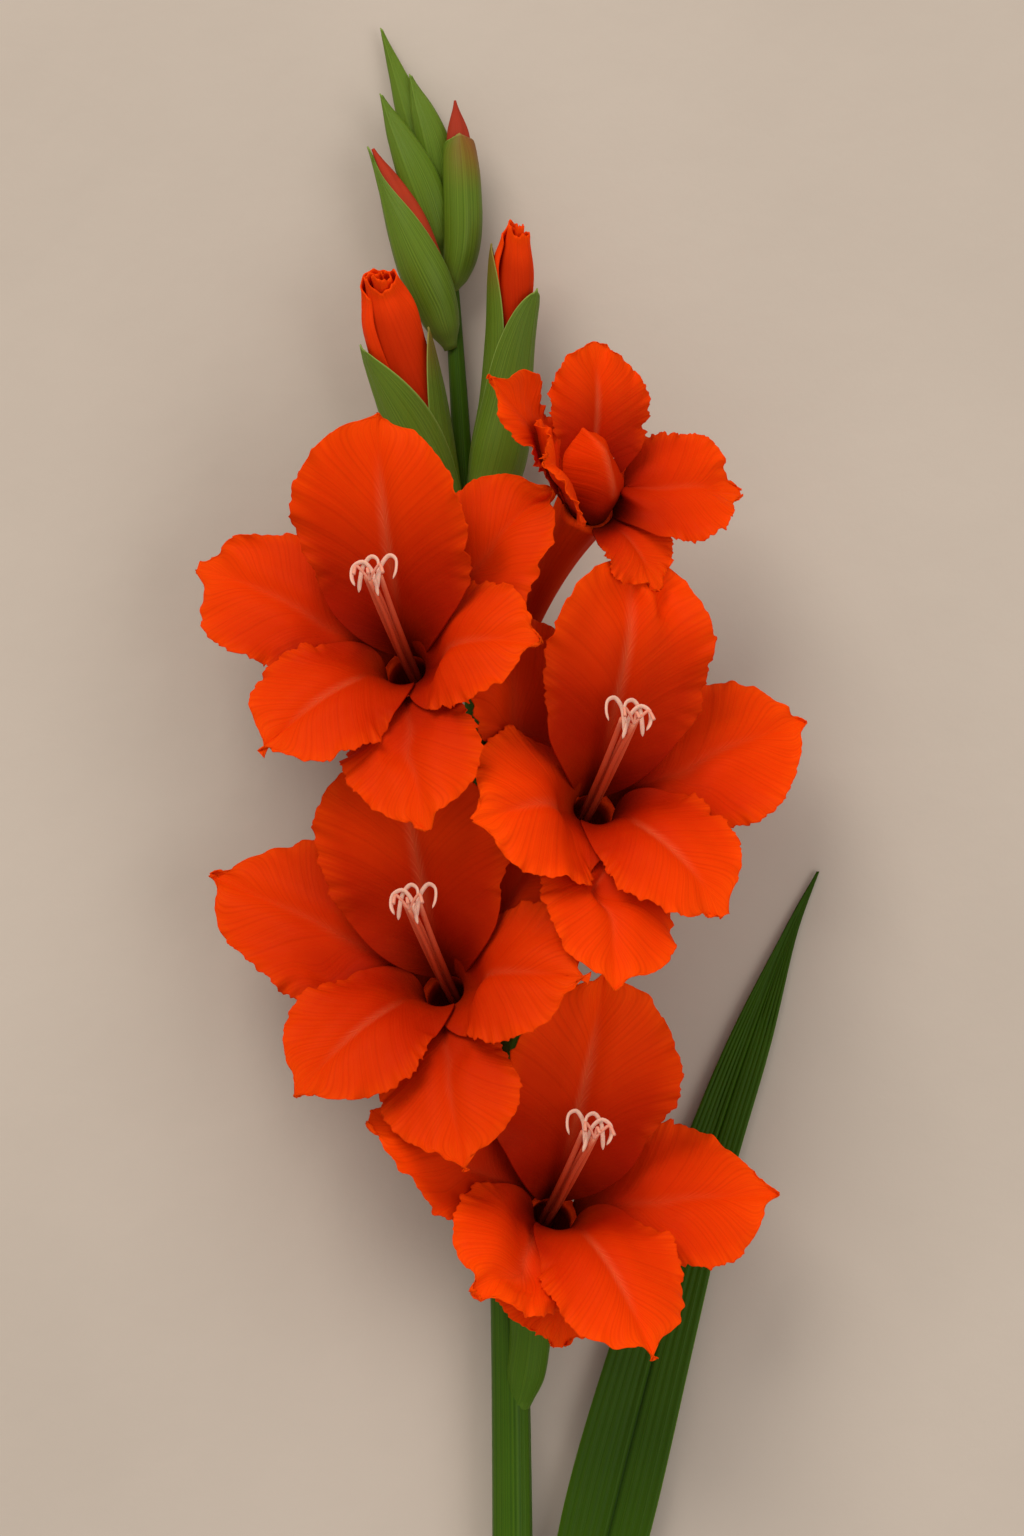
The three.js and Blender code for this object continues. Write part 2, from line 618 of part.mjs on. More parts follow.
// ---- tip of the spike ---------------------------------------------------------------------
// Closed buds still hidden in their bracts, each one lying against the one above it.
const TIP_DEPTH = 0.7; // depth of a tip bud over its width
const TIP_BUDS = [
  { route: [[-19, 636, 7], [-25.5, 657, 12], [-37.4, 684, 9]], radii: [1.8, 5.0, 5.6, 3.6, 0.5] },
  { route: [[-19.5, 648, 6], [-22, 668, 8.5], [-29, 690, 6.5]], radii: [1.8, 4.6, 5.0, 3.4, 0.5] },
  { route: [[-21.5, 657, 5.2], [-30, 683, 3.8], [-37.5, 704, 2.5]], radii: [1.6, 4.6, 4.2, 2.2, 0.4] },
];
TIP_BUDS.forEach(({ route, radii }, index) => {
  const steps = radii.length - 1;
  const radius = (t) => radii[Math.round(t * steps)];
  const curve = curveThrough(route);
  const bud = (grow) =>
    sweep(curve, steps, BUD_SIDES, (t) => radius(t) + grow, (t) => TIP_DEPTH * radius(t) + grow);
  place(`tip_bud_${index + 1}`, bud(0), bud(GAP), BRACT);
});

// ---- leaf ---------------------------------------------------------------------------------
// A sword-shaped blade growing out of a sheath that is folded round the stem. The sheath's ends are
// distances from the cut end.
const SHEATH_FROM = 45;
const SHEATH_TO = 238;
const SHEATH_SPREAD = 160;
const LEAF_ROWS = 12;
// Left edge, middle and right edge of the blade, with their distance from the cut end and height.
const LEAF_SECTIONS = [
  [6.9, 8.4, 9.5, 70, 7.8],
  [7, 10, 14, 130, 7.6],
  [7.2, 13, 21, 190, 7.2],
  [8.5, 19, 31, 236, 6.6],
  [14.5, 28, 41.5, 275, 5.6],
  [29, 41, 53, 325, 4.2],
  [45.5, 54.5, 63.5, 370, 3],
  [62, 68, 75, 410, 1.8],
  [79, 80.5, 83, 443, 1],
  [88.4, 88.8, 89.2, 460, 0.7],
];

function leafBlade() {
  const edges = [0, 1, 2].map((k) => curveThrough(LEAF_SECTIONS.map((s) => vec(s[k], s[3], s[4]))));
  const grid = Array.from({ length: LEAF_ROWS + 1 }, (_, i) => {
    const [left, middle, right] = edges.map((edge) => edge.getPoint(i / LEAF_ROWS));
    return [left, left.clone().lerp(middle, 0.5), middle, middle.clone().lerp(right, 0.5), right];
  });
  return thicken(grid, LEAF_THICKNESS);
}

function leafSheath() {
  const shape = {
    from: SHEATH_FROM / stemCurve.getLength(),
    to: SHEATH_TO / stemCurve.getLength(),
    facing: 0,
    spread: SHEATH_SPREAD,
  };
  return wrap(stemCurve, (t) => stemRadius(t) + 3 * GAP + SHEATH_WALL / 2, shape, SHEATH_WALL);
}

const leaf = joined([leafSheath(), leafBlade()]);
place("leaf", leaf, leaf, LEAF);

// ---- placement: the middle of the underside is the origin ------------------------------------
const box = new THREE.Box3().setFromObject(plant);
plant.position.set(-(box.min.x + box.max.x) / 2, -(box.min.y + box.max.y) / 2, -box.min.z);

export default plant;
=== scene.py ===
"""A cut gladiolus spike lying on its back on a pale floor, seen from straight above.

Lengths are in millimetres from the cut end of the stem, +Y towards the tip and +Z up. place()
turns them into the frame's metres. The layout of the plant is the CAD model's.
"""
import math

import bpy
import numpy as np
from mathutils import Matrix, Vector


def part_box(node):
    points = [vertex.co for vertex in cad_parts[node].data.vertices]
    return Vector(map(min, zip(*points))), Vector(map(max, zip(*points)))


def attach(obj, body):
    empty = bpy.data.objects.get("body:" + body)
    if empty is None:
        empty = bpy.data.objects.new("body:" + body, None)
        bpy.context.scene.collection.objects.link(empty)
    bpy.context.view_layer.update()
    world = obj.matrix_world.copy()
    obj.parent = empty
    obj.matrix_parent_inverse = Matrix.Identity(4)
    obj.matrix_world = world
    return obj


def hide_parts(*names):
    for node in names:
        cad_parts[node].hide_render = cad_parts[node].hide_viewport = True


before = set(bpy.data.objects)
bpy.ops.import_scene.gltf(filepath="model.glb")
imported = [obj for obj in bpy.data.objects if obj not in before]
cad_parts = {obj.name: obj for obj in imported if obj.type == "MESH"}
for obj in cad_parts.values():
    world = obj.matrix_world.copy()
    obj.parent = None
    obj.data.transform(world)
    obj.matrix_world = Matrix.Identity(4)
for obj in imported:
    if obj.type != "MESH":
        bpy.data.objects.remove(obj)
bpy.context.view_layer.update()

MM = 0.001
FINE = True

# ---- sizes of the plant, as in the CAD model ----------------------------------------------
STEM_RADIUS = 6.4
STEM_TIP_RADIUS = 1.6
STEM_HEIGHT = 7.8  # centre of the stem above the floor at the cut end
TUBE_FOOT_RADIUS = 3.0
TUBE_MOUTH_RADIUS = 6.2
WHORL_STEP = 1.4
MOUTH = -8.0

STEM_ROUTE = [
    (0, 0, STEM_HEIGHT), (0, 140, STEM_HEIGHT), (0, 280, 9), (-1.5, 360, 11), (-6, 450, 12),
    (-12, 540, 12), (-15.5, 600, 9), (-19, 645, 6), (-22, 660, 5),
]

# The stem's cut end is at y = 0 and is its widest and lowest part, which fixes the plant in the frame.
stem_low, stem_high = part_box("stem")
SHIFT = np.array([
    stem_high.x / MM - STEM_RADIUS,
    stem_low.y / MM,
    stem_low.z / MM - (STEM_HEIGHT - STEM_RADIUS),
])


# ---- numbers ------------------------------------------------------------------------------
def vec(*numbers):
    return np.array(numbers, float)


def unit(v):
    return v / np.maximum(np.linalg.norm(v, axis=-1, keepdims=True), 1e-12)


def smooth(a, b, x):
    s = np.clip((np.asarray(x, float) - a) / (b - a), 0, 1)
    return s * s * (3 - 2 * s)


def mix(a, b, t):
    return a + (b - a) * t


def place(points):
    return (np.asarray(points, float) + SHIFT) * MM


def waves(angle, counts, sizes, seed):
    """A sum of ripples round a turn, each with its own count and size."""
    draw = np.random.default_rng(seed)
    return sum(size * np.sin(count * angle + draw.uniform(0, 6.28)) for count, size in zip(counts, sizes))


def resampler(count, wanted):
    """Matrix that turns count samples into wanted ones along a smooth curve through them."""
    at = np.linspace(0, count - 1, wanted)
    low = np.minimum(at.astype(int), count - 2)
    t = at - low
    weights = (
        -0.5 * t + t**2 - 0.5 * t**3,
        1 - 2.5 * t**2 + 1.5 * t**3,
        0.5 * t + 2 * t**2 - 1.5 * t**3,
        -0.5 * t**2 + 0.5 * t**3,
    )
    matrix = np.zeros((wanted, count))
    for k, weight in enumerate(weights):
        np.add.at(matrix, (np.arange(wanted), np.clip(low + k - 1, 0, count - 1)), weight)
    return matrix


def finer(grid, rows, cols):
    """The same surface or field with more rows and columns."""
    by_row = np.tensordot(resampler(grid.shape[0], rows), grid, (1, 0))
    return np.moveaxis(np.tensordot(resampler(grid.shape[1], cols), by_row, (1, 1)), 0, 1)


def grid_normals(grid):
    along = np.gradient(grid, axis=0)
    across = np.gradient(grid, axis=1)
    return unit(np.cross(across, along))


# ---- curves -------------------------------------------------------------------------------
class Route:
    """A smooth curve through points, read by its share of length."""

    def __init__(self, points, samples=400):
        points = np.asarray(points, float)
        knots = np.concatenate([[0], np.cumsum(np.linalg.norm(np.diff(points, axis=0), axis=1) ** 0.5)])
        fine = np.linspace(0, knots[-1], samples)
        slopes = np.gradient(points, knots, axis=0)
        i = np.clip(np.searchsorted(knots, fine, "right") - 1, 0, len(knots) - 2)
        h = (knots[i + 1] - knots[i])[:, None]
        t = ((fine - knots[i])[:, None]) / h
        self.path = (
            (2 * t**3 - 3 * t**2 + 1) * points[i] + (t**3 - 2 * t**2 + t) * h * slopes[i]
            + (-2 * t**3 + 3 * t**2) * points[i + 1] + (t**3 - t**2) * h * slopes[i + 1]
        )
        self.measure()

    def measure(self):
        steps = np.linalg.norm(np.diff(self.path, axis=0), axis=1)
        self.share = np.concatenate([[0], np.cumsum(steps)])
        self.length = self.share[-1]
        self.share /= self.length

    def at(self, share):
        return np.stack([np.interp(share, self.share, self.path[:, k]) for k in range(3)], -1)

    def frames(self, shares, up=(0, 0, 1)):
        """Point, direction, up and side at each share, turned as little as possible on the way."""
        shares = np.asarray(shares, float)
        here = self.at(shares)
        along = unit(self.at(np.minimum(shares + 0.004, 1)) - self.at(np.maximum(shares - 0.004, 0)))
        ups = np.zeros_like(here)
        last = np.asarray(up, float)
        for i, direction in enumerate(along):
            last = unit(last - direction * (last @ direction))
            ups[i] = last
        return here, along, ups, np.cross(along, ups)


class Bend(Route):
    """A cubic Bezier curve, read by its share of length."""

    def __init__(self, a, b, c, d, samples=400):
        t = np.linspace(0, 1, samples)[:, None]
        self.path = (1 - t) ** 3 * a + 3 * t * (1 - t) ** 2 * b + 3 * t**2 * (1 - t) * c + t**3 * d
        self.measure()


stem_route = Route(STEM_ROUTE)


def stem_radius(share):
    return mix(STEM_RADIUS, STEM_TIP_RADIUS, np.asarray(share, float) ** 2.2)


def stem_point(y):
    """Point on the stem's centre line at this distance from the cut end."""
    share = np.interp(y, stem_route.path[:, 1], stem_route.share)
    return stem_route.at(share)


# ---- meshes -------------------------------------------------------------------------------
def build(name, points, faces, fields, look):
    """A mesh object from points in millimetres, faces, and one number per point for each field."""
    mesh = bpy.data.meshes.new(name)
    mesh.from_pydata(place(points).tolist(), [], faces.tolist() if hasattr(faces, "tolist") else faces)
    for field, values in fields.items():
        attribute = mesh.attributes.new(field, "FLOAT", "POINT")
        attribute.data.foreach_set("value", np.asarray(values, np.float32).ravel())
    mesh.polygons.foreach_set("use_smooth", np.ones(len(mesh.polygons), bool))
    mesh.materials.append(look)
    mesh.update()
    piece = bpy.data.objects.new(name, mesh)
    bpy.context.scene.collection.objects.link(piece)
    return piece


class Parts:
    """Gathers several surfaces into the points, faces and fields of one mesh."""

    FIELDS = ("along", "across", "vein", "streak", "blush_and_shade", "rim")

    def __init__(self):
        self.points = []
        self.faces = []
        self.fields = {field: [] for field in self.FIELDS}
        self.count = 0

    def add(self, points, faces, fields):
        self.points.append(points.reshape(-1, 3))
        self.faces += (np.asarray(faces) + self.count).tolist() if len(faces) else []
        for field in self.FIELDS:
            values = np.broadcast_to(fields.get(field, 0.0), points.shape[:-1])
            self.fields[field].append(np.asarray(values, float).ravel())
        self.count += points.reshape(-1, 3).shape[0]

    def sheet(self, grid, thickness, fields):
        """A thin closed sheet with the grid as its middle. thickness is a number or a field."""
        rows, cols = grid.shape[:2]
        lift = grid_normals(grid) * (np.broadcast_to(thickness, (rows, cols))[..., None] / 2)
        index = np.arange(rows * cols).reshape(rows, cols)
        a, b, c, d = index[:-1, :-1], index[1:, :-1], index[1:, 1:], index[:-1, 1:]
        front = np.stack([a, d, c, b], -1).reshape(-1, 4)
        back = np.stack([a, b, c, d], -1).reshape(-1, 4) + rows * cols
        rim = np.concatenate([index[0, :-1], index[:-1, -1], index[-1, :0:-1], index[:0:-1, 0]])
        after = np.roll(rim, -1)
        band = np.stack([rim, rim + rows * cols, after + rows * cols, after], -1)
        both = {field: np.stack([np.broadcast_to(v, (rows, cols))] * 2) for field, v in fields.items()}
        self.add(np.stack([grid + lift, grid - lift]), np.concatenate([front, back, band]), both)

    def tube(self, rings, fields):
        """A closed solid through rings of points, each end closed by a fan."""
        rows, cols = rings.shape[:2]
        index = np.arange(rows * cols).reshape(rows, cols)
        beside = np.roll(index, -1, axis=1)
        faces = np.stack([index[:-1], index[1:], beside[1:], beside[:-1]], -1).reshape(-1, 4).tolist()
        faces.append(index[0].tolist())
        faces.append(index[-1][::-1].tolist())
        self.points.append(rings.reshape(-1, 3))
        self.faces += [[i + self.count for i in face] for face in faces]
        for field in self.FIELDS:
            values = np.broadcast_to(fields.get(field, 0.0), (rows, cols))
            self.fields[field].append(np.asarray(values, float).ravel())
        self.count += rows * cols

    def finish(self, name, look, slot, *nodes):
        piece = build(name, np.concatenate(self.points), self.faces,
                      {k: np.concatenate(v) for k, v in self.fields.items()}, look)
        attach(piece, "root")
        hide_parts(*nodes)
        return piece


# ---- materials ----------------------------------------------------------------------------
class Shader:
    """Small helper that adds nodes to a material and links them."""

    def __init__(self, name):
        self.material = bpy.data.materials.new(name)
        self.material.use_nodes = True
        self.tree = self.material.node_tree
        self.surface = self.tree.nodes["Principled BSDF"]

    def node(self, kind, inputs=(), **settings):
        made = self.tree.nodes.new(kind)
        for key, value in settings.items():
            setattr(made, key, value)
        for socket, value in dict(inputs).items():
            self.put(made.inputs[socket], value)
        return made

    def put(self, socket, value):
        if isinstance(value, bpy.types.NodeSocket):
            self.tree.links.new(value, socket)
        else:
            socket.default_value = value

    def field(self, name):
        return self.node("ShaderNodeAttribute", attribute_name=name).outputs["Fac"]

    def math(self, operation, *values):
        return self.node("ShaderNodeMath", dict(enumerate(values)), operation=operation).outputs[0]

    def between(self, value, low, high, bottom=0.0, top=1.0):
        inputs = {"Value": value, "From Min": low, "From Max": high, "To Min": bottom, "To Max": top}
        return self.node("ShaderNodeMapRange", inputs, interpolation_type="SMOOTHSTEP").outputs[0]

    def blend(self, factor, a, b, kind="MIX"):
        made = self.node("ShaderNodeMix", data_type="RGBA", blend_type=kind)
        self.put(made.inputs[0], factor)
        self.put(made.inputs[6], a)
        self.put(made.inputs[7], b)
        return made.outputs[2]

    def ramp(self, value, stops):
        made = self.node("ShaderNodeValToRGB", {"Fac": value})
        while len(made.color_ramp.elements) < len(stops):
            made.color_ramp.elements.new(0.5)
        for element, (position, colour) in zip(made.color_ramp.elements, stops):
            element.position = position
            element.color = (*colour, 1)
        return made.outputs["Color"]

    def noise(self, scale, detail=2.0, **settings):
        coordinates = self.node("ShaderNodeTexCoord").outputs["Object"]
        return self.node("ShaderNodeTexNoise", {"Vector": coordinates, "Scale": scale, "Detail": detail},
                         **settings).outputs["Fac"]

    def lines(self, value, scale, detail=2.0):
        """Irregular lines across the direction in which value grows."""
        return self.node("ShaderNodeTexNoise", {"W": value, "Scale": scale, "Detail": detail},
                         noise_dimensions="1D").outputs["Fac"]

    def bump(self, height, strength, distance):
        inputs = {"Height": height, "Strength": strength, "Distance": distance * MM}
        made = self.node("ShaderNodeBump", inputs)
        self.put(self.surface.inputs["Normal"], made.outputs[0])

    def set(self, **values):
        for name, value in values.items():
            self.put(self.surface.inputs[name.replace("_", " ").title().replace("Ior", "IOR")], value)


def rgba(colour):
    return (*colour, 1.0)


def petal_material(name, stops, pale, glow=0.12):
    s = Shader(name)
    along = s.field("along")
    across = s.math("ABSOLUTE", s.field("across"))
    veins = s.lines(s.field("vein"), 60, 3)
    base = s.ramp(along, stops)
    shade = s.blend(s.between(veins, 0.4, 0.75, 0.0, 0.20), base, rgba((0.36, 0.010, 0.0002)))
    margin = s.between(s.field("rim"), 0.45, 1.0, 0.0, 0.45)
    margin = s.math("MULTIPLY", margin, s.between(veins, 0.2, 0.6, 1.0, 0.5))
    shade = s.blend(margin, shade, rgba((0.96, 0.080, 0.0003)))
    patches = s.between(s.noise(45, 3), 0.35, 0.7, 0.0, 0.22)
    shade = s.blend(patches, shade, rgba((0.88, 0.050, 0.0003)))
    reach = s.math("MULTIPLY", s.between(along, 0.2, 0.45), s.between(along, 0.92, 0.6))
    streak = s.math("MULTIPLY", s.between(across, 0.11, 0.0), reach)
    streak = s.math("MULTIPLY", streak, s.between(veins, 0.15, 0.6, 1.0, 0.35))
    streak = s.math("MULTIPLY", streak, s.field("streak"))
    shade = s.blend(streak, shade, rgba(pale))
    # Deep red where this field is set: painted shade at the foot of the upper and inner side petals, evenly
    # over some florets, and on the inner turns of furled buds.
    shade = s.blend(s.field("blush_and_shade"), shade, rgba((0.20, 0.004, 0.0005)))
    s.set(base_color=shade, roughness=0.55, subsurface_weight=glow, subsurface_scale=1.2 * MM,
          specular_ior_level=0.02)
    s.surface.inputs["Subsurface Radius"].default_value = (1.0, 0.20, 0.03)
    ridges = s.math("ADD", s.math("MULTIPLY", veins, 0.8), s.math("MULTIPLY", s.noise(900, 2), 0.2))
    s.bump(ridges, 0.42, 0.3)
    return s.material


def green_material(name, dark, light, edge, lines=34, gloss=0.15, ribbing=0.7):
    s = Shader(name)
    along = s.field("along")
    across = s.field("across")
    ribs = s.lines(across, lines, 2)
    middling = 0.5 - ribbing / 2
    colour = s.blend(s.between(ribs, 0.25, 0.75, middling, middling + ribbing), rgba(dark), rgba(light))
    patches = s.between(s.noise(28, 3), 0.3, 0.7, 0.0, 0.35)
    colour = s.blend(patches, colour, rgba(light))
    colour = s.blend(s.between(s.field("rim"), 0.75, 1.0, 0.0, 0.8), colour, rgba(edge))
    # Darker where the streak field is set: on the leaf that is painted shade in the groove beside the midrib.
    colour = s.blend(s.field("streak"), colour, rgba(dark))
    # The bracts' own reddish-brown tips.
    colour = s.blend(s.field("blush_and_shade"), colour, rgba((0.33, 0.035, 0.02)))
    colour = s.blend(s.between(along, 0.25, 0.0, 0.0, 0.3), colour, rgba(edge))
    s.set(base_color=colour, roughness=0.42, specular_ior_level=gloss, subsurface_weight=0.05,
          subsurface_scale=1.5 * MM)
    height = s.math("ADD", s.math("MULTIPLY", ribs, 0.7), s.math("MULTIPLY", s.noise(700, 2), 0.3))
    s.bump(height, 0.5, 0.3)
    return s.material


# The petal's ramp darkens to near black at its foot: painted shade down in the throat.
RED_WITH_THROAT_SHADE = [(0.0, (0.035, 0.002, 0.0002)), (0.12, (0.11, 0.003, 0.0002)), (0.28, (0.38, 0.010, 0.0002)),
       (0.5, (0.62, 0.023, 0.0002)), (0.8, (0.80, 0.041, 0.0002)), (1.0, (0.90, 0.054, 0.0002))]
BUD_RED = [(0.0, (0.12, 0.02, 0.006)), (0.45, (0.30, 0.022, 0.006)), (0.75, (0.62, 0.03, 0.002)),
           (1.0, (0.86, 0.05, 0.002))]
DUSKY_RED = [(0.0, (0.16, 0.04, 0.014)), (0.6, (0.30, 0.040, 0.018)), (1.0, (0.34, 0.036, 0.018))]
PETAL = petal_material("petal", RED_WITH_THROAT_SHADE, (0.90, 0.20, 0.07))
# The tube's ramp: from 0.5 on it covers the inside wall, darkening to near black as painted shade inside the
# tube.
THROAT_WITH_PAINTED_SHADE = petal_material("throat", [(0.0, (0.26, 0.05, 0.012)), (0.2, (0.40, 0.016, 0.001)),
                                   (0.5, (0.66, 0.034, 0.0004)), (0.56, (0.16, 0.005, 0.0004)),
                                   (1.0, (0.04, 0.0015, 0.0003))], (0.5, 0.05, 0.02))
BUD = petal_material("bud_petal", BUD_RED, (0.8, 0.12, 0.06), 0.08)
CLOSED_BUD = petal_material("closed_bud", DUSKY_RED, (0.5, 0.1, 0.05), 0.05)
BRACT = green_material(
    "bract", (0.055, 0.100, 0.004), (0.135, 0.21, 0.016), (0.27, 0.36, 0.07), gloss=0.12,
)
FLORET_BRACT = green_material(
    "floret_bract", (0.030, 0.072, 0.0015), (0.072, 0.145, 0.006), (0.12, 0.21, 0.02), gloss=0.1,
)
STEM = green_material(
    "stem", (0.018, 0.054, 0.0008), (0.055, 0.120, 0.003), (0.10, 0.19, 0.01), 26, gloss=0.10,
)
LEAF = green_material(
    "leaf", (0.010, 0.030, 0.0004), (0.042, 0.098, 0.001), (0.10, 0.18, 0.012), 46,
    gloss=0.08, ribbing=0.4,
)


def stamen_material():
    s = Shader("stamen")
    colour = s.ramp(s.field("along"), [(0.0, (0.20, 0.010, 0.003)), (0.55, (0.50, 0.045, 0.012)),
                                       (0.9, (0.66, 0.11, 0.045)), (1.0, (0.74, 0.22, 0.12))])
    # The anthers' own pale pink.
    colour = s.blend(s.field("blush_and_shade"), colour, rgba((0.78, 0.45, 0.33)))
    s.set(base_color=colour, roughness=0.5, subsurface_weight=0.15, subsurface_scale=1.0 * MM,
          specular_ior_level=0.1)
    s.bump(s.noise(1500, 3), 0.3, 0.15)
    return s.material


STAMEN = stamen_material()

# ---- petals -------------------------------------------------------------------------------
COARSE = (33, 25)
FULL = (104, 84) if FINE else (56, 40)
CLEARANCE = 1.5
REACH = 9
FADE = 12
FOOT_SHARE = 0.56
SOFTENING = 6  # rounds of smoothing, so that a pushed petal bends instead of denting
TIP_SHARE = 0.8  # how fast the margin's frill comes in towards the tip
BUNCHED = 1.5  # how much closer the rows are at the tip


def petal_surface(p, seed):
    """The petal's middle surface in floret coordinates, and its fields, on the coarse grid."""
    rows, cols = COARSE
    foot_radius = TUBE_MOUTH_RADIUS + (WHORL_STEP if p.get("outer") else 0)
    az = math.radians(p["az"])
    out = vec(math.sin(az), math.cos(az), 0)
    side = vec(math.cos(az), -math.sin(az), 0)
    axis = vec(0, 0, 1)
    u = 1 - (1 - np.linspace(0, 1, rows)) ** BUNCHED
    fine = np.linspace(0, 1, 500)
    lean = np.radians(p["from"] + (p["to"] - p["from"]) * (1 - (1 - fine) ** p["bend"]))
    step = p["length"] / (len(fine) - 1)
    r_fine = foot_radius + np.concatenate([[0], np.cumsum(np.sin((lean[1:] + lean[:-1]) / 2))]) * step
    z_fine = MOUTH + np.concatenate([[0], np.cumsum(np.cos((lean[1:] + lean[:-1]) / 2))]) * step
    r, z, a = (np.interp(u, fine, field) for field in (r_fine, z_fine, lean))
    flare = p.get("flare", 0.54)
    foot = foot_radius * FOOT_SHARE / p["width"]
    rise = foot + (1 - foot) * np.sin(np.pi / 2 * np.clip(u / flare, 0, 1))
    fall = np.sqrt(np.clip(1 - np.clip((u - flare) / (1 - flare), 0, 1) ** p.get("round", 2.2), 0, 1))
    half = np.maximum(0.05, p["width"] * np.where(u < flare, rise, fall))
    s = smooth(0, p.get("flat", 0.5), u)
    k = (1 - s) * np.cos(a) / r + s * p["cup"]
    k = np.where(np.abs(k) < 1e-5, 1e-5, k)[:, None]
    normal = out * -np.cos(a)[:, None] + axis * np.sin(a)[:, None]
    turn = (math.radians(p.get("twist", 0)) * smooth(0.1, 1, u))[:, None]
    across = side * np.cos(turn) + normal * np.sin(turn)
    lift = normal * np.cos(turn) - side * np.sin(turn)
    middle = out * r[:, None] + axis * z[:, None] + side * (p.get("bow", 0) * u**2)[:, None]
    v = np.linspace(-1, 1, cols)
    t = half[:, None] * v
    grid = (
        middle[:, None]
        + across[:, None] * (np.sin(k * t) / k)[..., None]
        + lift[:, None] * ((1 - np.cos(k * t)) / k)[..., None]
    )
    from_edge = np.minimum(half[:, None] - np.abs(t), ((1 - u) * p["length"] * TIP_SHARE)[:, None])
    edge = np.clip(1 - from_edge / (0.5 * p["width"]), 0, 1) * smooth(0.16, 0.45, u)[:, None]
    heading = np.arctan2(t, ((u - 0.45) * p["length"])[:, None])
    size = p["width"] / 20 * p.get("ruffle", 1.0)
    ruffle = waves(heading, (3, 5, 8), (1.3 * size, 1.05 * size, 0.6 * size), seed)
    open_part = smooth(0.15, 0.5, u)[:, None]
    fold = 1.0 * np.exp(-(t / 2.6) ** 2) - 0.65 * np.exp(-((np.abs(t) - 6) / 3.5) ** 2)
    grid = grid + lift[:, None] * (edge**1.7 * ruffle - fold * open_part)[..., None]
    lobes = edge**2 * waves(heading, (3, 4, 6), (0.9 * size, 0.7 * size, 0.5 * size), seed + 4)
    grid = grid + across[:, None] * (lobes * np.sign(v))[..., None]
    point = p.get("mucro", 3.4) * (smooth(0.84, 1.0, u) ** 2)[:, None] * np.exp(-(t / 2.3) ** 2)
    tangent = out * np.sin(a)[:, None] + axis * np.cos(a)[:, None]
    grid = grid + tangent[:, None] * point[..., None]
    fields = {
        "along": np.broadcast_to(u[:, None], (rows, cols)),
        "across": np.broadcast_to(v, (rows, cols)),
        "offset": t,
        "edge": edge,
        "heading": heading,
    }
    return grid, fields


def blur(field):
    """Each value averaged with its neighbours in the grid."""
    for axis in (0, 1):
        padded = np.concatenate([field.take([0], axis), field, field.take([-1], axis)], axis)
        count = field.shape[axis]
        low, mid, high = (padded.take(range(k, k + count), axis) for k in range(3))
        field = (low + 2 * mid + high) / 4
    return field


def push_behind(grid, fronts):
    """Pushes a petal back, away from the throat, wherever it would run into one in front of it."""
    free = smooth(0, 0.3, 1 - (1 - np.linspace(0, 1, grid.shape[0])) ** BUNCHED)[:, None]
    for front in fronts:
        if np.any(grid.min((0, 1)) > front.max((0, 1)) + FADE) or np.any(
            grid.max((0, 1)) < front.min((0, 1)) - FADE
        ):
            continue
        normals = grid_normals(front).reshape(-1, 3)
        targets = front.reshape(-1, 3)
        flat = grid.reshape(-1, 3)
        apart = (flat**2).sum(1)[:, None] + (targets**2).sum(1) - 2 * flat @ targets.T
        nearest = apart.argmin(1)
        gap = flat - targets[nearest]
        ahead = (gap * normals[nearest]).sum(1)
        aside = np.sqrt(np.maximum(0, (gap**2).sum(1) - ahead**2))
        push = (ahead + CLEARANCE) * (1 - smooth(3, FADE, aside))
        push = np.where((ahead <= -CLEARANCE) | (ahead > REACH), 0, push).reshape(grid.shape[:2])
        if push.max() <= 0:
            continue
        away = normals[nearest].reshape(grid.shape) * (push[..., None] + 0.02)
        for _ in range(SOFTENING):
            push = np.maximum(push, blur(push))
            away = blur(away)
        grid = grid - unit(away) * (blur(push) * free)[..., None]
    return grid


def petal_piece(name, grid, fields, seed, streak, shade, deep):
    """The finished petal: fine ripples, pleats and a thin frilled margin on the pushed surface."""
    rows, cols = FULL
    surface = finer(grid, rows, cols)
    along, across, offset, edge, heading = (
        finer(np.ascontiguousarray(fields[k])[..., None], rows, cols)[..., 0]
        for k in ("along", "across", "offset", "edge", "heading")
    )
    across = np.clip(across, -1, 1)
    edge = np.clip(edge, 0, 1)
    vein = along - 0.34 * np.sqrt(np.abs(across) + 1e-4) + (across < 0) * 3.7
    normals = grid_normals(surface)
    pleats = 0.035 * waves(2 * np.pi * vein, (11, 17, 29), (1.0, 0.8, 0.5), seed + 3)
    pleats = pleats * smooth(0.1, 0.4, along) * smooth(0.05, 0.3, np.abs(across))
    frill = edge**3 * waves(heading, (13, 23, 37), (0.55, 0.5, 0.34), seed + 1)
    rib = -0.35 * np.exp(-(offset / 1.1) ** 2) * smooth(0.05, 0.2, along) * (1 - smooth(0.8, 1.0, along))
    surface = surface + normals * (pleats + frill + rib)[..., None]
    outward = unit(np.gradient(surface, axis=1)) * np.sin(heading)[..., None]
    outward = outward + unit(np.gradient(surface, axis=0)) * np.maximum(np.cos(heading), 0)[..., None]
    nibble = edge**8 * waves(heading, (19, 41, 67, 97), (0.36, 0.3, 0.24, 0.16), seed + 2)
    surface = surface + outward * nibble[..., None]
    parts = Parts()
    parts.sheet(surface, 0.55 * (1 - 0.6 * edge), {
        "along": along, "across": across, "vein": vein, "streak": streak, "rim": edge,
        # Painted shade: dark at the foot of the petals in SHADES, fading towards the tip, and the floret's
        # deep shade all over.
        "blush_and_shade": np.maximum(shade * (1 - smooth(0.35, 0.95, along)), deep),
    })
    return parts.finish(name, PETAL, "petal", name)


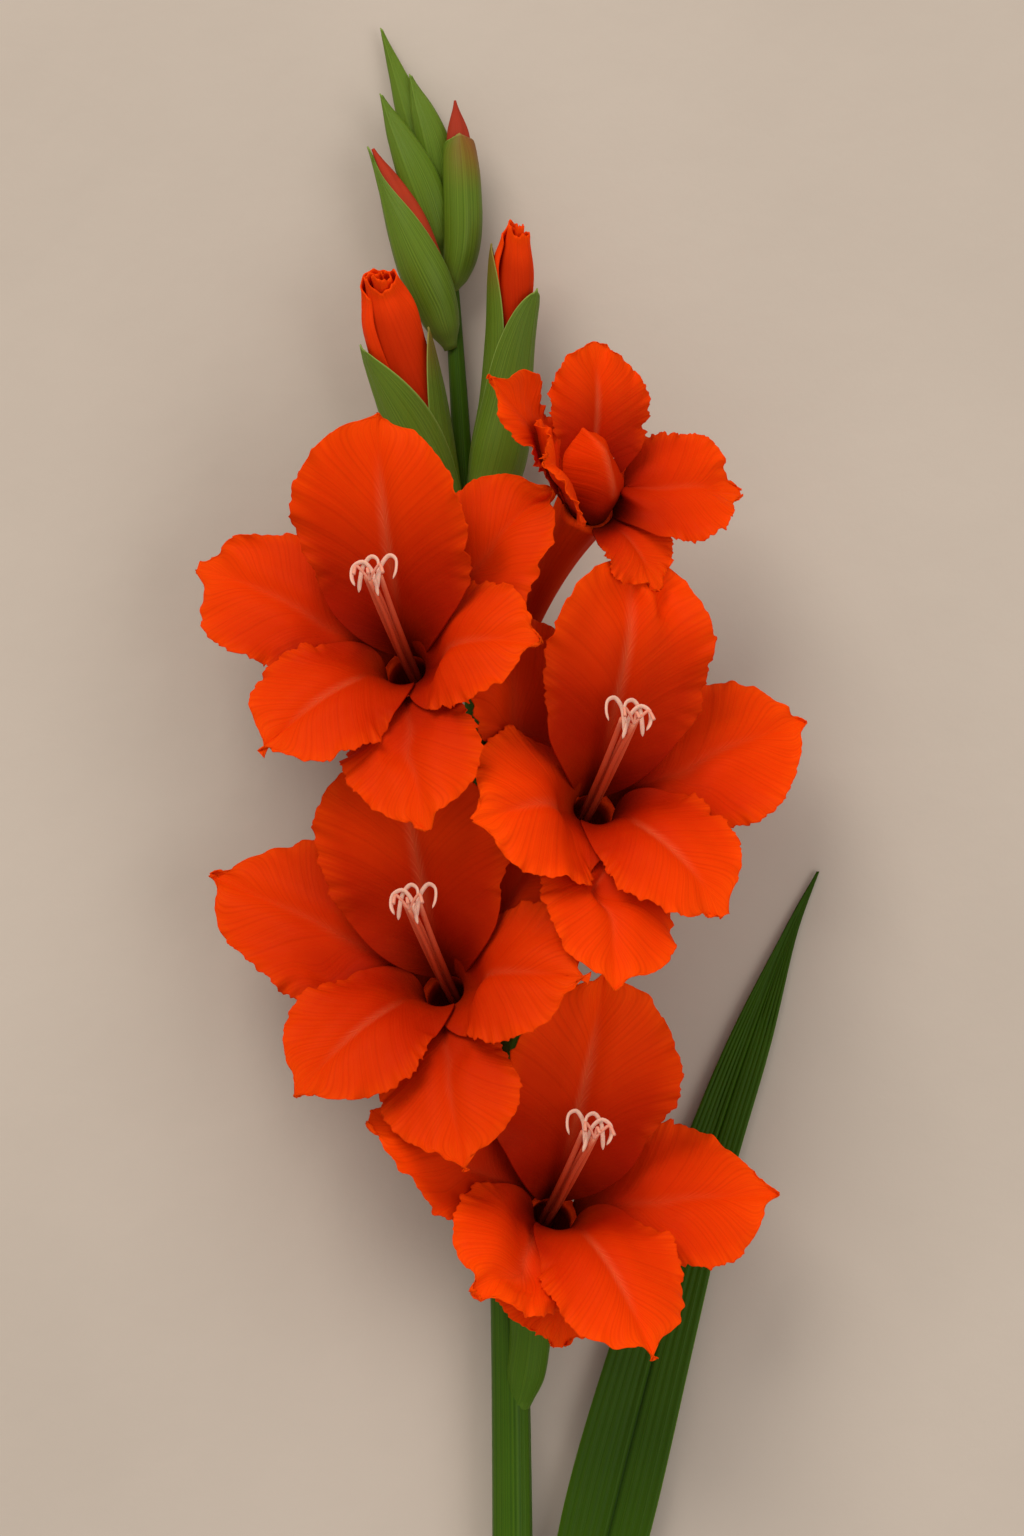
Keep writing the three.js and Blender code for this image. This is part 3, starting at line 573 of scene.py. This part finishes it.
# ---- florets ------------------------------------------------------------------------------
# Petals of an open floret that faces left, from the front to the back; one that faces right is
# mirrored. Angles in degrees: az is the place round the throat, from and to the midrib's lean.
OPEN_PETALS = {
    "upper": dict(az=6, length=74, width=25.5, bend=1.4, cup=0.006, bow=-4, mucro=1.6,
                  **{"from": 12, "to": 62}),
    "lower_outer": dict(az=-134, length=50, width=20, bend=1.9, cup=-0.01, flat=0.4, flare=0.6,
                        **{"from": -10, "to": 96}),
    "lower_inner": dict(az=94, length=49, width=20, bend=1.9, cup=-0.01, flat=0.4, flare=0.6,
                        **{"from": -10, "to": 90}),
    "side_outer": dict(outer=True, az=-64, length=62, width=21.5, bend=2.0, cup=0, mucro=4.8, ruffle=1.25,
                       **{"from": 20, "to": 94}),
    "side_inner": dict(outer=True, az=45, length=63, width=20, bend=2.0, cup=0, mucro=4.8,
                       **{"from": 20, "to": 88}),
    "lowest": dict(outer=True, az=165, length=51, width=19, bend=2.2, cup=-0.008, flat=0.4, flare=0.6,
                   **{"from": 18, "to": 100}),
}
STREAKS = {"upper": 0.55, "lower_outer": 0.4, "lower_inner": 0.2, "side_outer": 0.12, "side_inner": 0.1,
           "lowest": 0.15}
# Painted shade at the foot of the upper and inner side petals, which lean away from the light.
SHADES = {"upper": 0.4, "side_inner": 0.35}

# deep lays painted shade evenly over a whole floret, darkening it towards deep red.
FLORETS = [
    dict(node=302, throat=(13.5, 366.5, 43), yaw=18, pitch=26, roll=10, aside=9, petals={
        "upper": dict(length=71), "side_outer": dict(az=-82, length=56),
        "lower_outer": dict(az=-153, length=57), "lowest": dict(az=186, length=32, to=120),
        "lower_inner": dict(az=142, width=22), "side_inner": dict(az=76, length=57)}),
    dict(node=345, throat=(-20.7, 429.5, 45), yaw=-18, pitch=26, roll=-3, aside=-4, deep=0.2, petals={
        "upper": dict(az=1, width=27), "side_outer": dict(az=-66, length=69),
        "lower_outer": dict(az=-139, length=56), "lower_inner": dict(az=99, length=56),
        "lowest": dict(az=166, length=54)}),
    dict(node=396, throat=(24.6, 480.5, 47), yaw=18, pitch=26, roll=8, aside=4, petals={
        "upper": dict(width=24, bow=-5, length=76), "side_outer": dict(length=61),
        "lower_outer": dict(az=-138, length=52), "lower_inner": dict(az=114, width=24, length=49),
        "lowest": dict(az=182, length=55)}),
    dict(node=442, throat=(-31.4, 519.7, 50), yaw=-18, pitch=26, roll=-3, aside=-4, deep=0.14,
         petals={"upper": dict(length=72)}),
    dict(node=487, throat=(24, 567, 56), yaw=24, pitch=28, roll=4, aside=4, stamens=-4, bracts=0.5, deep=0.08,
         petals={
        "upper": dict(az=4, length=41, width=15.5, to=66, bow=2, flare=0.6),
        "side_outer": dict(az=-86, length=37, width=18.5, to=92),
        "lower_outer": dict(az=-150, length=33, width=13, to=-72, bend=1.2, cup=0.085, flare=0.6, ruffle=0.8,
                            mucro=0, **{"from": -2}),
        "lower_inner": dict(az=98, length=34, width=15, to=46, bend=1.4, cup=-0.005, ruffle=1.1, mucro=0,
                            **{"from": 10}),
        "side_inner": dict(az=62, length=42, width=10, to=64, cup=0.03, flare=0.68, round=3, ruffle=1.6),
        "lowest": dict(az=-146, length=24, width=12, to=112)}),
]


class Place:
    """Where a floret sits: turns floret coordinates, with z out of the throat, into the plant's."""

    def __init__(self, floret):
        yaw, pitch, roll = (math.radians(floret[k]) for k in ("yaw", "pitch", "roll"))
        axis = vec(math.sin(yaw) * math.cos(pitch), math.sin(pitch), math.cos(yaw) * math.cos(pitch))
        up = unit(vec(0, 1, 0) - axis * axis[1])
        right = np.cross(up, axis)
        y = up * math.cos(roll) + right * math.sin(roll)
        x = right * math.cos(roll) - up * math.sin(roll)
        self.turn = np.stack([x, y, axis], 1)
        self.throat = vec(*floret["throat"])

    def __call__(self, points):
        return np.asarray(points, float) @ self.turn.T + self.throat


def tube_route(floret, put):
    root = stem_point(floret["node"])
    mouth = put(vec(0, 0, MOUTH - 0.6))
    inside = put(vec(0, 0, MOUTH - 0.42 * np.linalg.norm(mouth - root)))
    leaving = root + vec(floret["aside"], 0.36 * (mouth[1] - root[1]), 6)
    return Bend(root, leaving, inside, mouth)


def tube_radius(t):
    t = np.asarray(t, float)
    mouth = TUBE_MOUTH_RADIUS + WHORL_STEP + 0.8
    return mix(TUBE_FOOT_RADIUS, mouth, t**2.4) + 0.8 * np.exp(-((t - 0.22) / 0.12) ** 2)


def rings(route, shares, wide, deep=None, sides=40, up=(0, 0, 1), wobble=None):
    """Rings of points round a route; wide and deep are its radii at each share."""
    deep = wide if deep is None else deep
    here, along, ups, side = route.frames(shares, up)
    angle = np.linspace(0, 2 * np.pi, sides, endpoint=False)
    swell = 1 if wobble is None else wobble(np.asarray(shares)[:, None], angle)
    return (
        here[:, None]
        + side[:, None] * (wide[:, None] * np.cos(angle) * swell)[..., None]
        + ups[:, None] * (deep[:, None] * np.sin(angle) * swell)[..., None]
    )


def round_fields(shares, sides):
    across = np.abs(np.linspace(-1, 1, sides, endpoint=False))
    along = np.asarray(shares)[:, None] * np.ones(sides)
    return {"along": along, "across": across * 1.0 + 0 * along, "vein": across * 0.5 + 0 * along}


def add_tube_floret(name, route):
    parts = Parts()
    shares = np.linspace(0.0, 1, 60)
    outer = tube_radius(shares)
    six = lambda t, angle: 1 + 0.05 * smooth(0.5, 1, t) * np.cos(6 * angle)
    outside = rings(route, shares, outer, wobble=six)
    back = np.linspace(1, 0.55, 24)
    inner = tube_radius(back) - 0.7 - 1.5 * smooth(0.9, 1.0, back)
    inside = rings(route, back, inner)
    # The inside wall takes along from 0.5 to 0.95, the dark end of the tube's ramp: painted shade inside the
    # tube.
    both = np.concatenate([0.5 * shares, 1.5 - back])
    parts.tube(np.concatenate([outside, inside]), round_fields(both, 40))
    return parts.finish(f"{name}_tube", THROAT_WITH_PAINTED_SHADE, "tube", f"{name}_tube")


def boat(route, radius, shape, rows=60, cols=41, fold=0.0, tip=0.5, flat=1.0):
    """A boat-shaped sheet lying round a route: the middle surface of a bract, and its fields.

    shape has from and to, shares of the route; facing, the direction of its middle, which swings
    on towards the tip; spread, its half-angle; blunt, where it starts to narrow; and sharp.
    """
    start, end, facing, spread = (shape[k] for k in ("from", "to", "facing", "spread"))
    blunt = shape.get("blunt", 0.3)
    sharp = shape.get("sharp", 0.0)
    u = 1 - (1 - np.linspace(0, 1, rows)) ** 1.4
    share = start + (end - start) * u
    here, along, ups, side = route.frames(share)
    closing = np.clip((u - blunt) / (1 - blunt), 0, 1)
    narrow = np.clip(1 - closing ** mix(1.7, 1, sharp), 0, 1) ** mix(0.5, 0.8, sharp)
    r = radius(share)
    half = np.maximum(0.2 / r, math.radians(spread) * narrow)
    v = np.linspace(-1, 1, cols)
    angle = np.radians(facing + shape.get("swing", 0) * u)[:, None] - half[:, None] * v
    ripple = 0.05 * np.sin(9 * v * math.pi) * smooth(0, 0.2, u)[:, None]
    keel = 0.3 * np.exp(-(v / 0.07) ** 2)
    reach = r[:, None] + shape.get("lift", 0) + fold * (u**2)[:, None] + ripple + keel
    reach = reach * mix(0.6, 1, smooth(0, shape.get("foot", 0.1), u))[:, None]
    grid = (
        here[:, None]
        + side[:, None] * (reach * np.cos(angle))[..., None]
        + ups[:, None] * (flat * reach * np.sin(angle))[..., None]
    )
    flick = (tip * smooth(0.9, 1, u) ** 2)[:, None] * np.exp(-(v / 0.5) ** 2)
    grid = grid + along[:, None] * flick[..., None]
    fields = {
        "along": np.broadcast_to(u[:, None], (rows, cols)),
        "across": np.broadcast_to(v, (rows, cols)),
        "rim": np.maximum(np.abs(v) ** 6 + 0 * u[:, None], smooth(0.94, 1, u)[:, None]),
    }
    return grid, fields


FLORET_BRACT_SPACE = 1.35


def add_floret_bracts(name, route, reach):
    """The pair of bracts round the foot of a tube, and the collar that they grow from."""
    radius = lambda t: tube_radius(t) + FLORET_BRACT_SPACE
    parts = Parts()
    for end, facing in ((reach, 90), (0.9 * reach, 270)):
        shape = {"from": 0.0, "to": end, "facing": facing, "spread": 92, "foot": 0.35}
        grid, fields = boat(route, radius, shape, fold=2.5)
        edge = np.asarray(fields["rim"])
        parts.sheet(grid, 0.8 * (1 - 0.6 * np.clip(edge, 0, 1)), fields)
    collar = np.linspace(0.0, 0.14, 12)
    size = tube_radius(collar) + 0.9 * smooth(0, 0.14, collar)
    parts.tube(rings(route, collar, size), round_fields(collar, 40))
    return parts.finish(f"{name}_bracts", FLORET_BRACT, "bract", f"{name}_bracts")


def thread(parts, put, points, radius, along=(0, 1), blush_and_shade=0.0, flat=1.0, rows=28, sides=12):
    """A tapered strand through points in floret coordinates. radius is a function of its share."""
    route = Route([put(vec(*p)) for p in points])
    shares = np.linspace(0, 1, rows)
    wide = radius(shares)
    fields = {"along": np.linspace(*along, rows)[:, None] * np.ones(sides), "blush_and_shade": blush_and_shade}
    parts.tube(rings(route, shares, wide, wide * flat, sides, put.turn[:, 1]), fields)


def round_ended(size, blunt=0.12):
    """The radius of a strand that is rounded over its last share, blunt, at both ends."""

    def radius(t):
        past = np.clip((np.abs(t - 0.5) - 0.5 + blunt) / blunt, 0, 1)
        return size * np.sqrt(np.clip(1 - past**2, 0.02, 1))

    return radius


STAMEN_FOOT = -22


def add_stamens(name, put, reach, mirror):
    """Three filaments with curled anthers, and the style with its three curled arms."""
    height = lambda share: mix(STAMEN_FOOT, reach, share)
    parts = Parts()
    for k in (-1, 0, 1):
        top = vec(2.1 * k, 10.5 + 1.5 * abs(k), reach)
        strand = [
            (0.6 * k, 1, height(0)), (1.2 * k, 4, height(0.36)), (1.7 * k, 8, height(0.72)), tuple(top),
        ]
        thread(parts, put, strand, lambda t: mix(1.15, 0.75, t), flat=0.75)
        turn = mirror * vec(1, 0, 0) * (1 if k else -1)
        hook = [top + turn * x + vec(0.5 * k, y, z) for x, y, z in
                ((-1.6, -4.0, -1.6), (-0.9, -0.6, 0.2), (0.1, 2.6, 1.5), (2.4, 4.6, 2.6), (4.7, 3.0, 3.3),
                 (5.0, -0.4, 3.0), (4.1, -2.6, 2.2))]
        thread(parts, put, hook, round_ended(0.62), (0.9, 1), 1.0, 0.6)
    style = [(0, 0, height(0)), (0, 2, height(0.36)), (0, 6.4, height(0.72)), (0.3, 9, reach + 3)]
    thread(parts, put, style, lambda t: mix(0.7, 0.5, t))
    tip = vec(0.3, 9, reach + 3)
    for k in (-1, 0, 1):
        arm = [tip, tip + vec(1.6 * k, 1.8, 1.6), tip + vec(3.4 * k, 2.2 + abs(k), 2.6),
               tip + vec(4.2 * k + 0.6, 0.4, 3.2)]
        thread(parts, put, arm, lambda t: mix(0.35, 0.5, t), (0.9, 1), 0.4)
    return parts.finish(f"{name}_stamens", STAMEN, "stamen", f"{name}_stamens")


placed = []
for index in range(len(FLORETS) - 1, -1, -1):
    floret = FLORETS[index]
    name = f"floret_{index + 1}"
    mirror = -1 if floret["yaw"] > 0 else 1
    put = Place(floret)
    above = list(placed)
    own = []
    for number, (petal_name, base) in enumerate(OPEN_PETALS.items()):
        p = {**base, **floret["petals"].get(petal_name, {})}
        p["az"] *= mirror
        p["bow"] = p.get("bow", 0) * mirror
        seed = 100 * index + 10 * number
        grid, fields = petal_surface(p, seed)
        grid = push_behind(push_behind(put(grid), own), above)
        own.append(grid)
        placed.append(grid)
        petal_piece(f"{name}_petal_{petal_name}", grid, fields, seed, STREAKS[petal_name],
                    SHADES.get(petal_name, 0.0), floret.get("deep", 0.0))
    route = tube_route(floret, put)
    add_tube_floret(name, route)
    add_floret_bracts(name, route, floret.get("bracts", 0.66))
    add_stamens(name, put, floret.get("stamens", 28), mirror)

# ---- buds ---------------------------------------------------------------------------------
BRACT_SPACE = 1.1  # between a bud's petals and the middle of its bract
BUDS = [
    dict(name="bud_6", flat=0.85, rolled=True, turns=2.6,
         route=[(-11, 530, 13), (-19, 556, 17), (-26, 586, 21), (-32, 609, 24), (-36, 624, 27),
                (-38, 630, 33)],
         radii=[2.6, 3.8, 5.6, 7.0, 8.2, 8.8, 8.2],
         bracts={
             "outer_bract": {"from": 0.14, "to": 0.8, "facing": 128, "swing": 50, "spread": 122, "lift": 0.9},
             "inner_bract": {"from": 0.14, "to": 0.80, "facing": 5, "spread": 75, "blunt": 0.35},
         }),
    dict(name="bud_7", flat=0.9, rolled=True, turns=2.0,
         route=[(-11, 548, 12), (-7, 566, 14), (-3, 586, 16), (-0.6, 614, 18), (1.2, 637, 20.5),
                (1.8, 645, 25)],
         radii=[2.4, 4.4, 6.4, 5.6, 5.4, 6.5, 6.4],
         bracts={
             "outer_bract": {"from": 0.16, "to": 0.8, "facing": 60, "swing": -32, "spread": 112, "lift": 0.6},
             "inner_bract": {"from": 0.2, "to": 0.92, "facing": 178, "spread": 85, "blunt": 0.4},
         }),
    dict(name="bud_8", flat=0.85, rolled=False,
         route=[(-17.5, 611, 9.5), (-21, 621, 12), (-25.8, 635, 14.5), (-31, 650, 14.5), (-40, 668, 12.5)],
         radii=[1.8, 4.4, 5.8, 5.8, 4.8, 2.8, 0.5],
         bracts={"bract": {"from": 0.0, "to": 1.0, "facing": 153, "spread": 152, "blunt": 0.2, "sharp": 1}}),
    dict(name="bud_9", flat=0.9, rolled=False,
         route=[(-17.5, 628, 7.5), (-14.5, 640, 11.5), (-14.4, 657, 13), (-16.4, 682, 12)],
         radii=[1.6, 3.4, 4.1, 4.1, 3.8, 3.1, 0.35],
         bracts={"bract": {"from": 0.0, "to": 0.79, "facing": 82, "spread": 176, "blunt": 0.88}}),
]


def taper(radii):
    """A smooth radius along a piece from radii spread evenly over it."""
    radii = np.asarray(radii, float)
    fine = resampler(len(radii), 200) @ radii
    return lambda t: np.maximum(np.interp(t, np.linspace(0, 1, 200), fine), 0.3)


def rolled_petals(parts, route, radius, flat, turns, seed):
    """The furled petals of an opening bud: one long crumpled sheet that spirals inwards at the top."""
    rows, cols = 70, int(110 * turns)
    u = np.linspace(0, 1, rows)[:, None]
    v = np.linspace(0, 1, cols)
    angle = 1.9 + turns * 2 * np.pi * v + 1.1 * (u - 0.5)
    crumple = waves(turns * 6.28 * v, (1.3, 2.3, 4.1, 9.7), (1.2, 0.9, 0.6, 0.3), seed) * (1 - 0.5 * v)
    rim = 0.965 + 0.012 * crumple + 0.030 * v
    share = 0.3 + (rim - 0.3) * u
    top = smooth(0.5, 1, u)
    inward = mix(1 - 0.16 * v, 1 - 0.86 * v, top)
    folds = waves(angle, (3, 5, 8, 13), (0.34, 0.30, 0.22, 0.10), seed + 3) * mix(0.3, 1, smooth(0.7, 1, u))
    crush = waves(angle + 2 * u, (2, 3, 5), (0.6, 0.5, 0.35), seed + 5) * smooth(0.7, 1, u)
    here, along, ups, side = route.frames(np.linspace(0, 1, 300))
    at = np.clip(share, 0, 1) * 299
    low = np.minimum(at.astype(int), 298)
    mixing = (at - low)[..., None]
    centre, up, across = (f[low] * (1 - mixing) + f[low + 1] * mixing for f in (here, ups, side))
    closing = 1 - 0.34 * smooth(0.8, 1, u) ** 1.5 * (1 - 0.4 * v)
    r = radius(np.clip(share, 0, 1)) * inward * closing
    r = r + (folds + crush) * np.clip(r / 7, 0.1, 1) ** 1.3
    centre = centre + along[-1] * (np.maximum(share - 1, 0) * route.length)[..., None]
    grid = centre + across * (r * np.cos(angle))[..., None] + up * (flat * r * np.sin(angle))[..., None]
    # Painted shade on the inner turns of the roll, below its top.
    deep = smooth(0.15, 0.5, v) * smooth(0.99, 0.8, u)
    parts.sheet(grid, 0.45, {"along": share, "across": v * 2 - 1 + 0 * share, "vein": v * turns + 0 * share,
                             "rim": smooth(0.9, 1, u) + 0 * v, "blush_and_shade": 0.5 * deep})


def add_bract(name, node, route, radius, shape, blush_and_shade=None):
    parts = Parts()
    grid, fields = boat(route, radius, shape, tip=1.2)
    edge = np.clip(np.asarray(fields["rim"]), 0, 1)
    if blush_and_shade is not None:
        fields["blush_and_shade"] = blush_and_shade(fields["along"], fields["across"])
    parts.sheet(grid, 0.75 * (1 - 0.6 * edge), fields)
    parts.finish(name, BRACT, "bract", node)


def add_bud(bud, seed):
    route = Route(bud["route"])
    radius = taper(bud["radii"])
    name = bud["name"]
    parts = Parts()
    if bud["rolled"]:
        shares = np.linspace(0, 0.8, 60)
        core = radius(shares) * (0.95 - 0.45 * smooth(0.5, 0.8, shares))
        parts.tube(rings(route, shares, core, core * bud["flat"]), round_fields(shares, 40))
        rolled_petals(parts, route, radius, bud["flat"], bud["turns"], seed)
        look = BUD
    else:
        shares = 1 - (1 - np.linspace(0, 1, 80)) ** 1.3
        seam = lambda t, angle: 1 - 0.10 * np.exp(-(((angle + 2.2 * t) % 6.283 - 2.6) / 0.22) ** 2)
        wide = radius(shares)
        parts.tube(rings(route, shares, wide, wide * bud["flat"], wobble=seam), round_fields(shares, 40))
        look = CLOSED_BUD
    parts.finish(f"{name}_petals", look, "bud", f"{name}_petals")
    away = lambda t: radius(t) + BRACT_SPACE - 0.5 * smooth(0.6, 0.85, t)
    for part, shape in bud["bracts"].items():
        blush_and_shade = None
        if name == "bud_9":
            blush_and_shade = lambda along, across: 0.6 * smooth(0.6, 1.0, along) * smooth(-0.6, 0.4, across)
        if part == "inner_bract":
            blush_and_shade = lambda along, across: 0.35 * smooth(0.75, 1.0, along)
        add_bract(f"{name}_{part}", f"{name}_{part}", route, away, shape, blush_and_shade)


for index, bud in enumerate(BUDS):
    add_bud(bud, 40 + index)

# ---- tip of the spike ---------------------------------------------------------------------
TIP_BUDS = [
    ([(-19, 636, 7), (-25.5, 657, 12), (-37.4, 684, 9)], [1.8, 5.0, 5.6, 3.6, 0.5]),
    ([(-19.5, 648, 6), (-22, 668, 8.5), (-29, 690, 6.5)], [1.8, 4.6, 5.0, 3.4, 0.5]),
    ([(-21.5, 657, 5.2), (-30, 683, 3.8), (-37.5, 704, 2.5)], [1.6, 4.6, 4.2, 2.2, 0.4]),
]
TIP_DEPTH = 0.7
for index, (points, radii) in enumerate(TIP_BUDS):
    route = Route(points)
    radius = taper(radii)
    parts = Parts()
    shares = 1 - (1 - np.linspace(0, 1, 60)) ** 1.3
    wide = radius(shares) - 0.3
    parts.tube(rings(route, shares, wide, wide * TIP_DEPTH), round_fields(shares, 40))
    shape = {"from": 0.05, "to": 1.0, "facing": 118, "spread": 96}
    grid, fields = boat(route, lambda t: radius(t) + 0.1, shape, fold=0.3, tip=0.6, flat=TIP_DEPTH)
    parts.sheet(grid, 0.5 * (1 - 0.6 * np.clip(fields["rim"], 0, 1)), fields)
    parts.finish(f"tip_bud_{index + 1}", BRACT, "bract", f"tip_bud_{index + 1}")

# ---- stem ---------------------------------------------------------------------------------
shares = np.linspace(0, 1, 420)
sides = 72
ridged = lambda t, angle: 1 + 0.018 * np.cos(9 * angle + 3 * t) + 0.010 * np.cos(23 * angle)
parts = Parts()
parts.tube(rings(stem_route, shares, stem_radius(shares), sides=sides, wobble=ridged),
           round_fields(shares * 0.7 + 0.3, sides))
parts.finish("stem", STEM, "stem", "stem")

# ---- leaf ---------------------------------------------------------------------------------
SHEATH_FROM, SHEATH_TO = 45, 238
LEAF_SECTIONS = [
    (6.9, 8.4, 9.5, 70, 7.8), (7, 10, 14, 130, 7.6), (7.2, 13, 21, 190, 7.2), (8.5, 19, 31, 236, 6.6),
    (14.5, 28, 41.5, 275, 5.6), (29, 41, 53, 325, 4.2), (45.5, 54.5, 63.5, 370, 3), (62, 68, 75, 410, 1.8),
    (79, 80.5, 83, 443, 1), (88.4, 88.8, 89.2, 460, 0.7),
]


GROOVE = 0.12  # where the groove beside the midrib runs, across the leaf; it is painted dark as painted shade
LEAF_RIB = 0.16
LEAF_RIBS = 11
SHEATH_CLEARANCE = 1.1


def add_leaf():
    parts = Parts()
    rows, cols = 260, 49
    edges = [Route([(s[k], s[3], s[4]) for s in LEAF_SECTIONS]) for k in range(3)]
    share = np.linspace(0, 1, rows)
    left, middle, right = (edge.at(share) for edge in edges)
    v = np.linspace(-1, 1, cols)
    toward = np.abs(v)[:, None]
    grid = np.where(
        v[None, :, None] < 0,
        middle[:, None] * (1 - toward) + left[:, None] * toward,
        middle[:, None] * (1 - toward) + right[:, None] * toward,
    )
    full = smooth(0.15, 0.35, share)[:, None] * (1 - smooth(0.9, 1, share))[:, None]
    midrib = 0.55 * np.exp(-(v / 0.05) ** 2) - 0.5 * np.exp(-((v - GROOVE) / 0.07) ** 2)
    ribs = LEAF_RIB * np.cos(v * math.pi * LEAF_RIBS) + midrib
    grid[..., 2] += full * (ribs + 0.9 * np.abs(v)) + 0.35
    edge = np.abs(v) ** 8 + 0 * share[:, None]
    # Painted shade in the groove beside the midrib.
    groove_shade = 0.85 * np.exp(-((v - GROOVE) / 0.06) ** 2) * full
    fields = {"along": 0.3 + 0.7 * share[:, None] + 0 * v, "across": v + 0 * share[:, None], "rim": edge,
              "streak": groove_shade}
    parts.sheet(grid, 0.9 * (1 - 0.55 * edge), fields)
    total = stem_route.length
    radius = lambda t: stem_radius(t) + SHEATH_CLEARANCE
    shape = {"from": SHEATH_FROM / total, "to": SHEATH_TO / total, "facing": 0, "spread": 172,
             "foot": 0.001}
    sheath, fields = boat(stem_route, radius, shape, rows=120, cols=70)
    parts.sheet(sheath, 0.8, fields)
    parts.finish("leaf", LEAF, "leaf", "leaf")


add_leaf()

# ---- floor, light and camera --------------------------------------------------------------
CAMERA_HEIGHT = 1250.0
VIEW_CENTRE_Y = 490.0
VIEW_LENGTH = 1536 * 0.28  # millimetres seen from top to bottom of the frame
VIEW_DEPTH = CAMERA_HEIGHT - 45.0  # that length is seen at the height of the throats
SENSOR = 36.0

floor_mesh = bpy.data.meshes.new("floor")
floor_mesh.from_pydata([(-4, -4, 0), (4, -4, 0), (4, 4, 0), (-4, 4, 0)], [], [(0, 1, 2, 3)])
floor = bpy.data.objects.new("floor", floor_mesh)
bpy.context.scene.collection.objects.link(floor)
s = Shader("floor")
grain = s.noise(5, 5)
s.set(base_color=s.blend(s.between(grain, 0.3, 0.7), rgba((0.50, 0.42, 0.345)), rgba((0.54, 0.455, 0.375))),
      roughness=0.9, specular_ior_level=0.2)
s.bump(s.noise(60, 4), 0.25, 1.5)
floor_mesh.materials.append(s.material)


def softbox(name, position, target, size, power, colour=(1, 1, 1)):
    light = bpy.data.lights.new(name, "AREA")
    light.shape = "DISK"
    light.size = size
    light.energy = power
    light.color = colour
    lamp = bpy.data.objects.new(name, light)
    bpy.context.scene.collection.objects.link(lamp)
    lamp.location = position
    lamp.rotation_euler = (Vector(target) - Vector(position)).to_track_quat("-Z", "Y").to_euler()


middle = place(vec(0, VIEW_CENTRE_Y, 0))
softbox("key", (middle[0] - 1.5, middle[1] + 3.0, 2.8), tuple(middle), 2.6, 112, (1, 0.97, 0.93))
softbox("fill", (middle[0] + 2.0, middle[1] - 0.4, 2.4), tuple(middle), 2.0, 22, (0.97, 0.98, 1))
world = bpy.data.worlds.new("studio")
world.use_nodes = True
world.node_tree.nodes["Background"].inputs["Color"].default_value = (0.86, 0.84, 0.82, 1)
world.node_tree.nodes["Background"].inputs["Strength"].default_value = 0.68
bpy.context.scene.world = world
bpy.context.scene.view_settings.view_transform = "Standard"

camera_data = bpy.data.cameras.new("camera")
camera_data.sensor_fit = "VERTICAL"
camera_data.sensor_height = SENSOR
camera_data.lens = SENSOR * VIEW_DEPTH / VIEW_LENGTH
camera_data.clip_end = 20
camera = bpy.data.objects.new("camera", camera_data)
bpy.context.scene.collection.objects.link(camera)
camera.location = place(vec(0, VIEW_CENTRE_Y, CAMERA_HEIGHT))
bpy.context.scene.camera = camera
